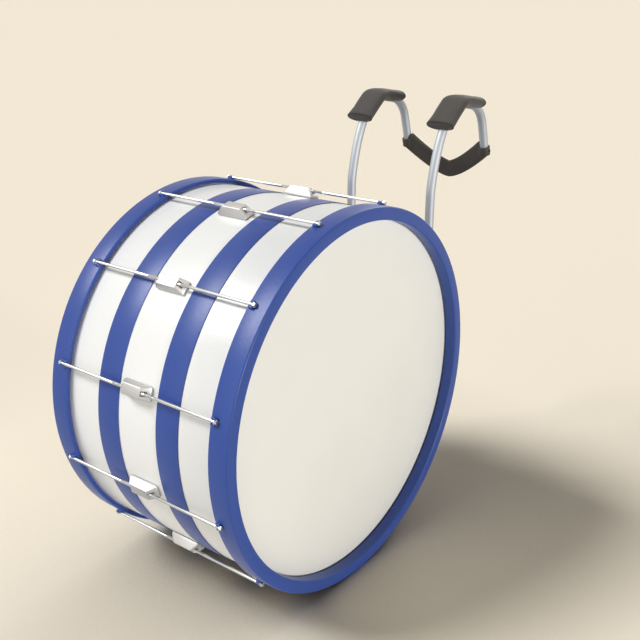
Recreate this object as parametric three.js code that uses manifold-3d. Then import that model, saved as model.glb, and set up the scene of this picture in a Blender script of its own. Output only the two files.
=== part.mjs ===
// A marching bass drum on its shoulder harness, in millimetres.
// The drum lies on its side: its axis is X, and the player stands on the +Y side.
// It is drawn about the drum's own centre, and the whole is then moved so that the
// origin is the point midway under the two shoulder pads, where the player carries it.

import * as THREE from "three";
import { mergeVertices } from "three/addons/utils/BufferGeometryUtils.js";
import Module from "manifold-3d";

const wasm = await Module();
wasm.setup();

// Gaps that every piece shares
const seatGap = 0.3;
const cutOverrun = 5;

// Shell, with a bearing edge that is cut at 45 degrees inside and rounded outside
const shellRadius = 330;
const shellWall = 8;
const headSpan = 355.6;
const bearingInset = 2.5;
const bearingRound = 3;
const ringSegments = 60;

// Wrap bands
const bandInnerEdge = 43.5;
const bandOuterEdge = 92.5;
const bandThickness = 1;

// Drum head and its flesh hoop
const filmThickness = 0.5;
const collarGap = 0.4;
const fleshWall = 4;
const fleshDepth = 9.2;
const fleshInset = 0.9;
const collarOverlap = 7;

// Counterhoop
const hoopSkirtWall = 4.3;
const hoopWidth = 38;
const hoopThickness = 22.8;
const headRecess = 24.8;
const hoopEdge = 1.5;
const lipLift = 3;
const skirtGap = 0.5;
const collarClearance = 0.7;

// Ears of the counterhoop that hold the tension rods
const earWidth = 13;
const earLength = 6.5;
const earSlope = 2;
const earAboveAxis = 2.2;
const earRoot = 2;
const slotClearance = 0.45;

// Tension rods and lugs
const rodCount = 12;
const firstRodAngle = Math.PI / rodCount;
const rodRadius = 2.75;
const rodHoopGap = 0.55;
const rodSides = 8;
const rodMiddleGap = 6;
const washerRadius = 4.4;
const washerThickness = 1;
const headRadius = 4;
const headThickness = 4;
const headClearance = 0.5;
const lugLength = 62;
const lugFaceLength = 40;
const lugBaseWidth = 24;
const lugFaceWidth = 19;
const lugOverRod = 2;
const lugToe = 4;
const lugNotchWidth = 9;
const lugNotchBelow = 4.6;
const lugBoreClearance = 0.55;

// Vent grommet
const ventAngle = -Math.PI / 6;
const ventBore = 6;
const ventTubeWall = 1.6;
const ventFlange = 12;
const ventFlangeThickness = 1.6;
const ventInside = 3;
const ventSides = 24;

// Carrier bracket on the shell, a hat section whose feet follow the shell
const bracketEndMargin = 5.4;
const bracketHeight = 21;
const bracketWall = 4;
const bracketHalfHeight = 50;
const bracketLugGap = 8.3;
const bracketFootThickness = 3.5;

// Tube clamps and their wing screws
const clampStandOff = 24.7;
const clampWall = 6;
const clampHeight = 60;
const clampFootWidth = 46;
const clampFootThickness = 8;
const clampEarReach = 28;
const clampEarWidth = 21;
const clampSlit = 2.6;
const screwReach = 20;
const screwRadius = 3;
const wingSpan = 40;
const wingHeight = 11;
const wingThickness = 5;
const knobRadius = 7.5;
const knobLength = 16;
const knobWingStart = 8;
const knobSides = 16;

// Harness tubes
const tubeSpacing = 193.2;
const tubeRadius = 9;
const tubeWall = 1.8;
const shankLowerLength = 110;
const shankUpperLength = 255;
const archDepth = 225.4;
const archRise = 201;
const tailLength = 16;
const tubeSteps = 60;
const tubeSides = 12;
const boreSides = 8;
// The arch over the shoulder, as shares of its depth and of its rise
const archShares = [
  [0.0, 0.0],
  [0.0049, 0.1841],
  [0.0262, 0.3134],
  [0.0501, 0.4229],
  [0.0776, 0.5224],
  [0.1114, 0.6219],
  [0.146, 0.704],
  [0.1708, 0.7562],
  [0.1939, 0.805],
  [0.228, 0.8617],
  [0.2724, 0.9095],
  [0.3243, 0.9458],
  [0.3815, 0.9692],
  [0.4423, 0.9791],
  [0.5009, 0.9746],
  [0.5825, 0.9592],
  [0.6619, 0.944],
  [0.7125, 0.9289],
  [0.7666, 0.899],
  [0.8181, 0.8537],
  [0.8638, 0.7866],
  [0.886, 0.7313],
  [0.9042, 0.6692],
  [0.921, 0.607],
  [0.9374, 0.5423],
  [0.9521, 0.4826],
];
const tailSlopeShare = 0.27;

// Plugs in the tubes' lower ends
const plugRadius = 10;
const plugThickness = 5;
const plugDepth = 18;

// Shoulder pads
const padWidth = 63;
const padThickness = 23.4;
const padStations = 13;
const padSectionSides = 16;
const padSquareness = 2.2;
// The pad's middle line, as shares of the arch's depth and of its rise
const padShares = [
  [0.1189, 0.8],
  [0.2, 0.8707],
  [0.29, 0.9491],
  [0.3713, 1.006],
  [0.45, 1.005],
  [0.55, 0.9862],
  [0.6743, 0.9627],
];
const padEndShares = [0.93, 1];
const padWaistShare = 0.02;

// Back yoke
const yokeHeight = 36;
const yokeEndThickness = 16;
const yokeMiddleThickness = 12;
const yokeDrop = 60;
const yokeBow = 23.7;
const yokeSagPower = 1.4;
const yokeLean = 0.13;
const yokeStations = 15;
const yokeSectionSides = 12;
const yokeSquareness = 3.4;
const socketWall = 3;
const socketAbove = 3;
const socketFloor = 4;
const tubeInsertion = 12;

// Colours and finishes
const shellPearl = new THREE.MeshStandardMaterial({ color: 0xf4f5f3, roughness: 0.2, metalness: 0 });
const blueLacquer = new THREE.MeshStandardMaterial({ color: 0x3f55a8, roughness: 0.3, metalness: 0 });
const coatedFilm = new THREE.MeshStandardMaterial({ color: 0xebe8dc, roughness: 0.55, metalness: 0 });
const chrome = new THREE.MeshStandardMaterial({ color: 0xd5d8da, roughness: 0.18, metalness: 1 });
const polishedTube = new THREE.MeshStandardMaterial({ color: 0xb9bcc2, roughness: 0.22, metalness: 1 });
const brushedPlate = new THREE.MeshStandardMaterial({ color: 0xa6a9ad, roughness: 0.4, metalness: 1 });
const blackFoam = new THREE.MeshStandardMaterial({ color: 0x423f3e, roughness: 0.8, metalness: 0 });
const blackNylon = new THREE.MeshStandardMaterial({ color: 0x2c2a29, roughness: 0.5, metalness: 0 });

// Places that follow from the sizes
const headPlane = headSpan / 2;
const hoopFront = headPlane + headRecess;
const hoopRear = hoopFront - hoopWidth;
const bandRadius = shellRadius + seatGap + bandThickness;
const collarRadius = shellRadius + collarGap;
const filmRadius = collarRadius + filmThickness;
const fleshInner = filmRadius + seatGap;
const fleshOuter = fleshInner + fleshWall;
const hoopSkirtRadius = fleshOuter + skirtGap;
const hoopRadius = hoopSkirtRadius + hoopSkirtWall;
const fleshRear = hoopRear + fleshInset;
const fleshFront = fleshRear + fleshDepth;
const hoopStep = fleshFront + seatGap;
const rodAxisRadius = hoopRadius + rodRadius + rodHoopGap;
const earFront = hoopRear + earLength + earSlope + earSlope;
const rodShoulder = earFront + seatGap;
const lugBottom = shellRadius + seatGap;
const lugTop = rodAxisRadius + rodRadius + lugOverRod;
const bracketFace = shellRadius + bracketHeight;
const shankY = bracketFace + clampStandOff;
const tubeHalfSpacing = tubeSpacing / 2;
const bracketLength = tubeSpacing + clampFootWidth + bracketEndMargin * 2;

// A closed mesh as a solid, and back again
function toSolid(geometry) {
  const plain = geometry.clone();
  plain.deleteAttribute("normal");
  plain.deleteAttribute("uv");
  const merged = mergeVertices(plain);
  return new wasm.Manifold(
    new wasm.Mesh({
      numProp: 3,
      vertProperties: new Float32Array(merged.attributes.position.array),
      triVerts: new Uint32Array(merged.index.array),
    }),
  );
}

function toGeometry(solid) {
  const mesh = solid.getMesh();
  const geometry = new THREE.BufferGeometry();
  geometry.setAttribute("position", new THREE.BufferAttribute(mesh.vertProperties, 3));
  geometry.setIndex(new THREE.BufferAttribute(mesh.triVerts, 1));
  geometry.computeVertexNormals();
  return geometry;
}

function joined(geometries) {
  return toGeometry(geometries.map(toSolid).reduce((whole, piece) => whole.add(piece)));
}

function cut(geometry, tools) {
  return toGeometry(tools.map(toSolid).reduce((whole, tool) => whole.subtract(tool), toSolid(geometry)));
}

function common(first, second) {
  return toGeometry(toSolid(first).intersect(toSolid(second)));
}

// A profile of [radius, place along the axis] turned about X
function turned(profile, sides, startAngle = 0) {
  const points = profile.map(([radius, along]) => new THREE.Vector2(radius, along));
  if (THREE.ShapeUtils.isClockWise(points)) points.reverse();
  const onAxis = points.filter((point) => point.x === 0).length > 0;
  while (onAxis && !(points[0].x === 0 && points.at(-1).x === 0)) points.push(points.shift());
  if (!onAxis) points.push(points[0].clone());
  return new THREE.LatheGeometry(points, sides, startAngle).rotateZ(-Math.PI / 2);
}

// A ring of the drum, with a corner of its facets at every tension rod
function drumRing(profile) {
  return turned(profile, ringSegments, firstRodAngle);
}

// A flat outline given thickness, centred on zero
function slab(points, thickness) {
  const shape = new THREE.Shape(points.map(([x, y]) => new THREE.Vector2(x, y)));
  const geometry = new THREE.ExtrudeGeometry(shape, { depth: thickness, bevelEnabled: false });
  return geometry.translate(0, 0, -thickness / 2);
}

// A box from its two corners
function block(low, high) {
  const size = high.map((value, i) => value - low[i]);
  const middle = high.map((value, i) => (value + low[i]) / 2);
  return new THREE.BoxGeometry(...size).translate(...middle);
}

// A round bar along X from one place to another
function barAlongX(radius, from, to, sides) {
  return turned([[0, from], [radius, from], [radius, to], [0, to]], sides);
}

// A skin over rings of points, closed at both ends
function loft(rings) {
  const sides = rings[0].length;
  const points = rings.flat();
  const faces = [];
  for (let i = 0; i < rings.length - 1; i += 1) {
    for (let j = 0; j < sides; j += 1) {
      const a = i * sides + j;
      const b = i * sides + ((j + 1) % sides);
      faces.push(a, b, b + sides, a, b + sides, a + sides);
    }
  }
  for (const end of [0, rings.length - 1]) {
    const middle = new THREE.Vector3();
    for (const point of rings[end]) middle.addScaledVector(point, 1 / sides);
    const hub = points.push(middle) - 1;
    for (let j = 0; j < sides; j += 1) {
      const a = end * sides + j;
      const b = end * sides + ((j + 1) % sides);
      faces.push(...(end === 0 ? [hub, b, a] : [hub, a, b]));
    }
  }
  const geometry = new THREE.BufferGeometry().setFromPoints(points);
  geometry.setIndex(faces);
  geometry.computeVertexNormals();
  return geometry;
}

// A rounded section, from an ellipse at squareness 2 towards a rectangle above it
function roundedSection(centre, across, up, halfWidth, halfHeight, sides, squareness) {
  const ring = [];
  for (let i = 0; i < sides; i += 1) {
    const angle = ((i + 0.5) / sides) * Math.PI * 2;
    const x = Math.sign(Math.cos(angle)) * Math.abs(Math.cos(angle)) ** (2 / squareness);
    const y = Math.sign(Math.sin(angle)) * Math.abs(Math.sin(angle)) ** (2 / squareness);
    const point = centre.clone().addScaledVector(across, x * halfWidth);
    ring.push(point.addScaledVector(up, y * halfHeight));
  }
  return ring;
}

function named(name, geometry, material) {
  const mesh = new THREE.Mesh(geometry, material);
  mesh.name = name;
  return mesh;
}

// A group turned about the drum's axis, in which +Y points out of the shell
function atAngle(angle, ...meshes) {
  const group = new THREE.Group();
  group.rotation.x = angle;
  group.add(...meshes);
  return group;
}

function rodAngle(index) {
  return firstRodAngle + (index * Math.PI * 2) / rodCount;
}

function number(index) {
  return String(index + 1).padStart(2, "0");
}

// Shell: a plywood tube, with a hole for the vent
function shellGeometry() {
  const inner = shellRadius - shellWall;
  const peak = shellRadius - bearingInset;
  const end = headPlane - filmThickness - seatGap;
  const innerEnd = end - (peak - inner);
  const tube = drumRing([
    [shellRadius, -end + bearingRound],
    [shellRadius, end - bearingRound],
    [peak, end],
    [inner, innerEnd],
    [inner, -innerEnd],
    [peak, -end],
  ]);
  const hole = ventBore + ventTubeWall + seatGap;
  const drill = new THREE.CylinderGeometry(hole, hole, shellWall + cutOverrun * 2, ventSides);
  drill.translate(0, shellRadius - shellWall / 2, 0).rotateX(ventAngle);
  return cut(tube, [drill]);
}

// Wrap band: a thin strip round the shell
function bandGeometry() {
  const inner = shellRadius + seatGap;
  return drumRing([
    [inner, bandInnerEdge],
    [bandRadius, bandInnerEdge],
    [bandRadius, bandOuterEdge],
    [inner, bandOuterEdge],
  ]);
}

// Head: a film that lies on the bearing edge and turns down into the flesh hoop
function headGeometry() {
  const peak = shellRadius - bearingInset;
  const turn = headPlane - filmThickness - bearingInset - collarGap;
  const collarEnd = fleshFront - collarOverlap;
  return drumRing([
    [0, headPlane - filmThickness],
    [peak, headPlane - filmThickness],
    [collarRadius, turn],
    [collarRadius, collarEnd],
    [filmRadius, collarEnd],
    [filmRadius, turn],
    [peak, headPlane],
    [0, headPlane],
  ]);
}

function fleshHoopGeometry() {
  return drumRing([
    [fleshInner, fleshRear],
    [fleshOuter, fleshRear],
    [fleshOuter, fleshFront],
    [fleshInner, fleshFront],
  ]);
}

// Counterhoop: a deep front rim and a thin skirt that hides the flesh hoop. Each rod lies
// in an open slot of an ear on the rim, and its head turns in a pocket in front of the ear.
function counterhoopGeometry() {
  const inner = hoopRadius - hoopThickness;
  const step = filmRadius + collarClearance;
  const lip = headPlane + lipLift;
  const rim = drumRing([
    [inner + hoopEdge, hoopFront],
    [hoopRadius - hoopEdge, hoopFront],
    [hoopRadius, hoopFront - hoopEdge],
    [hoopRadius, hoopRear],
    [hoopSkirtRadius, hoopRear],
    [hoopSkirtRadius, hoopStep],
    [step, hoopStep],
    [step, lip],
    [inner, lip],
    [inner, hoopFront - hoopEdge],
  ]);
  const root = hoopRadius - earRoot;
  const top = rodAxisRadius + earAboveAxis;
  const slotHalf = rodRadius + slotClearance;
  const pocketHalf = washerRadius + headClearance;
  const pocketEnd = rodShoulder + washerThickness + headThickness + headClearance;
  const slotFloor = hoopRadius + seatGap;
  let solid = toSolid(rim);
  for (let i = 0; i < rodCount; i += 1) {
    const ear = slab(
      [
        [earFront - earLength - earSlope, root],
        [earFront, root],
        [earFront, top],
        [earFront - earLength, top],
      ],
      earWidth,
    );
    const slot = block(
      [earFront - earLength - cutOverrun, slotFloor, -slotHalf],
      [earFront + cutOverrun, top + cutOverrun, slotHalf],
    );
    const pocket = block(
      [earFront, rodAxisRadius - pocketHalf, -pocketHalf],
      [pocketEnd, hoopRadius + cutOverrun, pocketHalf],
    );
    const turn = rodAngle(i);
    solid = solid.add(toSolid(ear.rotateX(turn)));
    solid = solid.subtract(toSolid(slot.rotateX(turn)));
    solid = solid.subtract(toSolid(pocket.rotateX(turn)));
  }
  return toGeometry(solid);
}

// Tension rod: a plain shank from the lug to the ear, a washer face and a hexagon head
function rodGeometry() {
  const washerEnd = rodShoulder + washerThickness;
  const shank = turned(
    [
      [0, rodMiddleGap / 2],
      [rodRadius, rodMiddleGap / 2],
      [rodRadius, rodShoulder],
      [washerRadius, rodShoulder],
      [washerRadius, washerEnd],
      [0, washerEnd],
    ],
    rodSides,
  );
  const head = barAlongX(headRadius, washerEnd - seatGap, washerEnd + headThickness, 6);
  return joined([shank, head]);
}

// Lug: a drafted casting with sloping ends, split by a notch where each rod comes out
function lugGeometry() {
  const toe = lugBottom + lugToe;
  const halfLength = lugLength / 2;
  const halfFace = lugFaceLength / 2;
  const side = slab(
    [
      [-halfLength, lugBottom],
      [halfLength, lugBottom],
      [halfLength, toe],
      [halfFace, lugTop],
      [-halfFace, lugTop],
      [-halfLength, toe],
    ],
    lugBaseWidth + cutOverrun,
  );
  const end = slab(
    [
      [-lugBaseWidth / 2, lugBottom],
      [lugBaseWidth / 2, lugBottom],
      [lugBaseWidth / 2, toe],
      [lugFaceWidth / 2, lugTop],
      [-lugFaceWidth / 2, lugTop],
      [-lugBaseWidth / 2, toe],
    ],
    lugLength + cutOverrun,
  ).rotateY(Math.PI / 2);
  const bore = barAlongX(rodRadius + lugBoreClearance, -halfLength, halfLength, rodSides + 2);
  bore.translate(0, rodAxisRadius, 0);
  const notches = [-1, 1].map((sign) => {
    const near = sign * halfFace;
    const far = sign * (halfLength + cutOverrun);
    return block(
      [Math.min(near, far), rodAxisRadius - lugNotchBelow, -lugNotchWidth / 2],
      [Math.max(near, far), lugTop + cutOverrun, lugNotchWidth / 2],
    );
  });
  return cut(common(side, end), [bore, ...notches]);
}

// Vent: a pressed grommet through the shell
function ventGeometry() {
  const outside = shellRadius + seatGap;
  const tube = ventBore + ventTubeWall;
  const ring = turned(
    [
      [ventBore, shellRadius - shellWall - ventInside],
      [tube, shellRadius - shellWall - ventInside],
      [tube, outside],
      [ventFlange, outside],
      [ventFlange - ventFlangeThickness / 2, outside + ventFlangeThickness],
      [ventBore, outside + ventFlangeThickness],
    ],
    ventSides,
  );
  return ring.rotateZ(Math.PI / 2);
}

// Carrier bracket: its outline in Y and Z, drawn the length of X
function bracketGeometry() {
  const under = bandRadius + seatGap;
  const over = under + bracketFootThickness;
  const lugEdge = firstRodAngle - Math.asin(lugBaseWidth / 2 / lugBottom);
  const tip = lugEdge - bracketLugGap / lugBottom;
  const innerHalf = bracketHalfHeight - bracketWall;
  const outerRoot = Math.asin(bracketHalfHeight / over);
  const innerRoot = Math.asin(innerHalf / under);
  const shape = new THREE.Shape();
  shape.moveTo(bracketFace, -bracketHalfHeight);
  shape.lineTo(bracketFace, bracketHalfHeight);
  shape.absarc(0, 0, over, outerRoot, tip, false);
  shape.absarc(0, 0, under, tip, innerRoot, true);
  shape.lineTo(bracketFace - bracketWall, innerHalf);
  shape.lineTo(bracketFace - bracketWall, -innerHalf);
  shape.absarc(0, 0, under, -innerRoot, -tip, true);
  shape.absarc(0, 0, over, -tip, -outerRoot, false);
  const options = { depth: bracketLength, bevelEnabled: false, curveSegments: 3 };
  const geometry = new THREE.ExtrudeGeometry(shape, options).translate(0, 0, -bracketLength / 2);
  const axes = new THREE.Matrix4().makeBasis(
    new THREE.Vector3(0, 1, 0),
    new THREE.Vector3(0, 0, 1),
    new THREE.Vector3(1, 0, 0),
  );
  return geometry.applyMatrix4(axes);
}

// Tube clamp: a split block about its tube, drawn with the tube's axis on Z
function clampGeometry() {
  const foot = -clampStandOff + seatGap;
  const round = tubeRadius + seatGap + clampWall;
  const half = clampHeight / 2;
  const body = new THREE.CylinderGeometry(round, round, clampHeight, knobSides).rotateX(Math.PI / 2);
  const pillar = block([-round, foot, -half], [round, 0, half]);
  const flange = block(
    [-clampFootWidth / 2, foot, -half],
    [clampFootWidth / 2, foot + clampFootThickness, half],
  );
  const ears = block([-clampEarWidth / 2, 0, -half], [clampEarWidth / 2, clampEarReach, half]);
  const clear = tubeRadius + seatGap;
  const bore = new THREE.CylinderGeometry(clear, clear, clampHeight + cutOverrun, tubeSides);
  bore.rotateX(Math.PI / 2);
  const slit = block(
    [-clampSlit / 2, 0, -half - cutOverrun],
    [clampSlit / 2, clampEarReach + cutOverrun, half + cutOverrun],
  );
  const drill = barAlongX(screwRadius + seatGap, -clampEarWidth, clampEarWidth, tubeSides);
  drill.translate(0, screwReach, 0);
  return cut(joined([body, pillar, flange, ears]), [bore, slit, drill]);
}

// Wing screw: its shank runs through both ears, along X from the wings inwards
function wingScrewGeometry() {
  const hubStart = clampEarWidth / 2 + seatGap;
  const hubEnd = hubStart + knobLength;
  const wingStart = hubStart + knobWingStart;
  const shank = barAlongX(screwRadius, -clampEarWidth / 2, hubStart + seatGap, tubeSides);
  const hub = turned(
    [
      [0, hubStart],
      [knobRadius, hubStart],
      [knobRadius, hubEnd - screwRadius],
      [knobRadius - screwRadius, hubEnd],
      [0, hubEnd],
    ],
    knobSides,
  );
  const wing = slab(
    [
      [wingStart, -wingSpan / 2],
      [wingStart + wingHeight / 2, -wingSpan / 2],
      [wingStart + wingHeight, -wingSpan / 2 + wingHeight / 2],
      [wingStart + wingHeight / 2, 0],
      [wingStart + wingHeight, wingSpan / 2 - wingHeight / 2],
      [wingStart + wingHeight / 2, wingSpan / 2],
      [wingStart, wingSpan / 2],
      [wingStart - wingThickness / 2, 0],
    ],
    wingThickness,
  );
  return joined([shank, hub, wing]);
}

// The middle line of a harness tube: a straight shank, the arch, and a straight tail
function archPoint([depthShare, riseShare]) {
  return new THREE.Vector3(0, shankY + depthShare * archDepth, shankUpperLength + riseShare * archRise);
}

function tubePath() {
  const path = new THREE.CurvePath();
  const arch = archShares.map(archPoint);
  const last = arch.at(-1);
  const tail = new THREE.Vector3(0, tailSlopeShare, -1).normalize().multiplyScalar(tailLength);
  path.add(new THREE.LineCurve3(new THREE.Vector3(0, shankY, -shankLowerLength), arch[0]));
  path.add(new THREE.CatmullRomCurve3(arch));
  path.add(new THREE.LineCurve3(last, last.clone().add(tail)));
  return path;
}

function circle(radius, sides) {
  const points = [];
  for (let i = 0; i < sides; i += 1) {
    const angle = (i / sides) * Math.PI * 2;
    points.push(new THREE.Vector2(Math.cos(angle) * radius, Math.sin(angle) * radius));
  }
  return points;
}

function sweptAlongTube(outerRadius, innerRadius) {
  const shape = new THREE.Shape(circle(outerRadius, tubeSides));
  if (innerRadius > 0) shape.holes.push(new THREE.Path(circle(innerRadius, boreSides)));
  return new THREE.ExtrudeGeometry(shape, { steps: tubeSteps, extrudePath: tubePath() });
}

function plugGeometry() {
  const spigot = tubeRadius - tubeWall - seatGap;
  const top = -seatGap;
  const plug = turned(
    [
      [0, -plugThickness],
      [plugRadius - plugThickness / 2, -plugThickness],
      [plugRadius, top - plugThickness / 2],
      [plugRadius, top],
      [spigot * Math.cos(Math.PI / boreSides), top],
      [spigot * Math.cos(Math.PI / boreSides), plugDepth],
      [0, plugDepth],
    ],
    tubeSides,
  );
  return plug.rotateY(-Math.PI / 2);
}

// Shoulder pad: a cushion of oval section, bent over the tube's arch. The tube lies in a
// groove along its underside, deeper than the tube's middle, so that the pad snaps over it.
function padGeometry() {
  const line = new THREE.CatmullRomCurve3(padShares.map(archPoint));
  const across = new THREE.Vector3(1, 0, 0);
  const rings = [];
  for (let i = 0; i < padStations; i += 1) {
    const along = i / (padStations - 1);
    const fromEnd = Math.min(i, padStations - 1 - i);
    const taper = padEndShares[Math.min(fromEnd, padEndShares.length - 1)];
    const waist = 1 - padWaistShare * Math.sin(Math.PI * along);
    const up = new THREE.Vector3().crossVectors(across, line.getTangentAt(along));
    const halfWidth = (padWidth / 2) * taper * waist;
    const halfHeight = (padThickness / 2) * taper;
    const centre = line.getPointAt(along);
    rings.push(
      roundedSection(centre, across, up, halfWidth, halfHeight, padSectionSides, padSquareness).reverse(),
    );
  }
  return cut(loft(rings), [sweptAlongTube(tubeRadius + seatGap, 0)]);
}

// Back yoke: a moulded bar that hangs between the tubes' tails and bows away from the back.
// Its top leans towards the player, and each end has a socket for a tail.
function yokeGeometry() {
  const arch = archShares.map(archPoint);
  const tailStart = arch.at(-1);
  const tail = new THREE.Vector3(0, tailSlopeShare, -1).normalize();
  const tailEnd = tailStart.clone().addScaledVector(tail, tailLength);
  const entry = tailEnd.clone().addScaledVector(tail, -tubeInsertion);
  const rings = [];
  for (let i = 0; i < yokeStations; i += 1) {
    const share = (2 * i) / (yokeStations - 1) - 1;
    const sag = 1 - Math.abs(share) ** yokeSagPower;
    const slope = Math.sign(share) * yokeSagPower * Math.abs(share) ** (yokeSagPower - 1);
    const centre = new THREE.Vector3(
      share * tubeHalfSpacing,
      entry.y + yokeBow * sag,
      entry.z - yokeDrop * sag,
    );
    const along = new THREE.Vector3(tubeHalfSpacing, -slope * yokeBow, slope * yokeDrop).normalize();
    const up = new THREE.Vector3(-along.z, 0, along.x).normalize().applyAxisAngle(along, yokeLean);
    const out = new THREE.Vector3().crossVectors(up, along);
    const thickness = yokeMiddleThickness + (yokeEndThickness - yokeMiddleThickness) * share * share;
    rings.push(
      roundedSection(centre, out, up, thickness / 2, yokeHeight / 2, yokeSectionSides, yokeSquareness),
    );
  }
  const bore = tubeRadius + seatGap;
  const boss = bore + socketWall;
  const bossLength = tubeInsertion + socketAbove + socketFloor;
  const pieces = [loft(rings)];
  const bores = [];
  for (const sign of [-1, 1]) {
    const turn = Math.atan(tailSlopeShare);
    const body = new THREE.CylinderGeometry(boss, boss, bossLength, knobSides);
    body.translate(0, (socketAbove - tubeInsertion - socketFloor) / 2, 0);
    body.rotateX(Math.PI / 2 + turn).translate(sign * tubeHalfSpacing, entry.y, entry.z);
    pieces.push(body);
    const holeLength = tubeInsertion + seatGap + socketAbove;
    const hole = new THREE.CylinderGeometry(bore, bore, holeLength, tubeSides);
    hole.translate(0, (socketAbove - tubeInsertion - seatGap) / 2, 0);
    hole.rotateX(Math.PI / 2 + turn).translate(sign * tubeHalfSpacing, entry.y, entry.z);
    bores.push(hole, sweptAlongTube(bore, 0).translate(sign * tubeHalfSpacing, 0, 0));
  }
  return cut(joined(pieces), bores);
}

// The drum end is drawn once for +X. The rear one is the same turned half round Z.
function drumEnd(side, turn) {
  const end = new THREE.Group();
  end.rotation.z = turn;
  end.add(
    named(`head_${side}`, headGeometry(), coatedFilm),
    named(`flesh_hoop_${side}`, fleshHoopGeometry(), brushedPlate),
    named(`counterhoop_${side}`, counterhoopGeometry(), blueLacquer),
    named(`wrap_band_${side}`, bandGeometry(), blueLacquer),
  );
  for (let i = 0; i < rodCount; i += 1) {
    const rod = named(`tension_rod_${side}_${number(i)}`, rodGeometry(), chrome);
    rod.position.y = rodAxisRadius;
    const place = turn === 0 ? rodAngle(i) : Math.PI - rodAngle(i);
    end.add(atAngle(place, rod));
  }
  return end;
}

const drum = new THREE.Group();
drum.add(named("shell", shellGeometry(), shellPearl));
drum.add(drumEnd("front", 0));
drum.add(drumEnd("rear", Math.PI));
for (let i = 0; i < rodCount; i += 1) {
  drum.add(atAngle(rodAngle(i), named(`lug_${number(i)}`, lugGeometry(), chrome)));
}
drum.add(atAngle(ventAngle, named("vent_grommet", ventGeometry(), chrome)));
drum.add(named("carrier_bracket", bracketGeometry(), brushedPlate));

const harness = new THREE.Group();
harness.add(named("back_yoke", yokeGeometry(), blackNylon));
for (const [side, sign] of [["left", -1], ["right", 1]]) {
  const place = new THREE.Group();
  place.position.x = sign * tubeHalfSpacing;
  const clamp = named(`tube_clamp_${side}`, clampGeometry(), brushedPlate);
  clamp.position.y = shankY;
  const screw = named(`wing_screw_${side}`, wingScrewGeometry(), chrome);
  screw.position.y = shankY + screwReach;
  screw.rotation.z = sign > 0 ? 0 : Math.PI;
  const plug = named(`tube_plug_${side}`, plugGeometry(), blackNylon);
  plug.position.set(0, shankY, -shankLowerLength);
  const tube = named(`harness_tube_${side}`, sweptAlongTube(tubeRadius, tubeRadius - tubeWall), polishedTube);
  place.add(tube, plug, clamp, screw);
  place.add(named(`shoulder_pad_${side}`, padGeometry(), blackFoam));
  harness.add(place);
}

// The origin goes midway under the pads, at the height of their underside over the crest
const crestShares = padShares[3];
const crest = archPoint(crestShares);
const whole = new THREE.Group();
whole.position.set(0, -crest.y, padThickness / 2 - crest.z);
whole.add(drum, harness);

export default whole;
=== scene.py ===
# A marching bass drum on its shoulder harness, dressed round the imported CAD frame, in metres.
import math

import bmesh
import bpy
from mathutils import Matrix, Vector
from mathutils.bvhtree import BVHTree


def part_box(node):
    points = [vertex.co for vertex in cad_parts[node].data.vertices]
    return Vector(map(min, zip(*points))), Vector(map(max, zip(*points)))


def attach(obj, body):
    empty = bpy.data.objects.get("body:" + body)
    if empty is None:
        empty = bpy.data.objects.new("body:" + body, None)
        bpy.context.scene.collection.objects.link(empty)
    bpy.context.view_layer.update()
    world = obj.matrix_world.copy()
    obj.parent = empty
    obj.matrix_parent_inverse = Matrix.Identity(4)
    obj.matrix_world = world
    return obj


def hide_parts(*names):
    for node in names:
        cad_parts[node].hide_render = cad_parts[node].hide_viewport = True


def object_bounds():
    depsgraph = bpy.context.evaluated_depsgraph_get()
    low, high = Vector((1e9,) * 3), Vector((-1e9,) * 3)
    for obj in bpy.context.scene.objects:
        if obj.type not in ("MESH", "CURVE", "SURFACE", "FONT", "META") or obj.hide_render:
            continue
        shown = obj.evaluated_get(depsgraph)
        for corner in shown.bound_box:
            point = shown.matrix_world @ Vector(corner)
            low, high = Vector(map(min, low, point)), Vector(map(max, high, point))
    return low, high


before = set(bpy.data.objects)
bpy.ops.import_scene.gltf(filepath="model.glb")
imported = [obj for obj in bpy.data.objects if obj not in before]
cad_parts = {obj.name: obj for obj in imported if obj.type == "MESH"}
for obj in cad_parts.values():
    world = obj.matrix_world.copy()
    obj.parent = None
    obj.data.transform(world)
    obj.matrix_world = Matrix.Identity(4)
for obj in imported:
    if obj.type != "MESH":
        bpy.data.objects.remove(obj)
cad_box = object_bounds()
scene = bpy.context.scene
scene.view_settings.view_transform = "Standard"


# Camera
# It stands in front of the drum and to its right, a little above the shoulder pads, and
# looks down at it with a slightly long lens. Its place counts from the drum's centre.
shell_low, shell_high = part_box("shell")
centre = (shell_low + shell_high) / 2
camera_place = centre + Vector((1.0033, -1.15388, 0.6804))
camera_yaw = math.radians(37.755)
camera_pitch = math.radians(-20.6)
camera_lens = 50.586
sensor_width = 36
camera_data = bpy.data.cameras.new("camera")
camera_data.lens = camera_lens
camera_data.sensor_width = sensor_width
camera = bpy.data.objects.new("camera", camera_data)
camera.location = camera_place
camera.rotation_euler = (math.pi / 2 + camera_pitch, 0, camera_yaw)
scene.collection.objects.link(camera)
scene.camera = camera


# Studio: a matt cream paper floor under the drum, a soft key light high on the left, two low
# lamps that light the front head and the shell's side and hardly the floor, and a weak wide
# lamp behind. The world is a dim room that shows the paper's cream to the camera and to
# polished metal.
def linear(hex_colour):
    """An sRGB hex colour as linear red, green, blue and alpha."""
    parts = [(hex_colour >> shift & 255) / 255 for shift in (16, 8, 0)]
    return tuple(c / 12.92 if c <= 0.04045 else ((c + 0.055) / 1.055) ** 2.4 for c in parts) + (1,)


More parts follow.
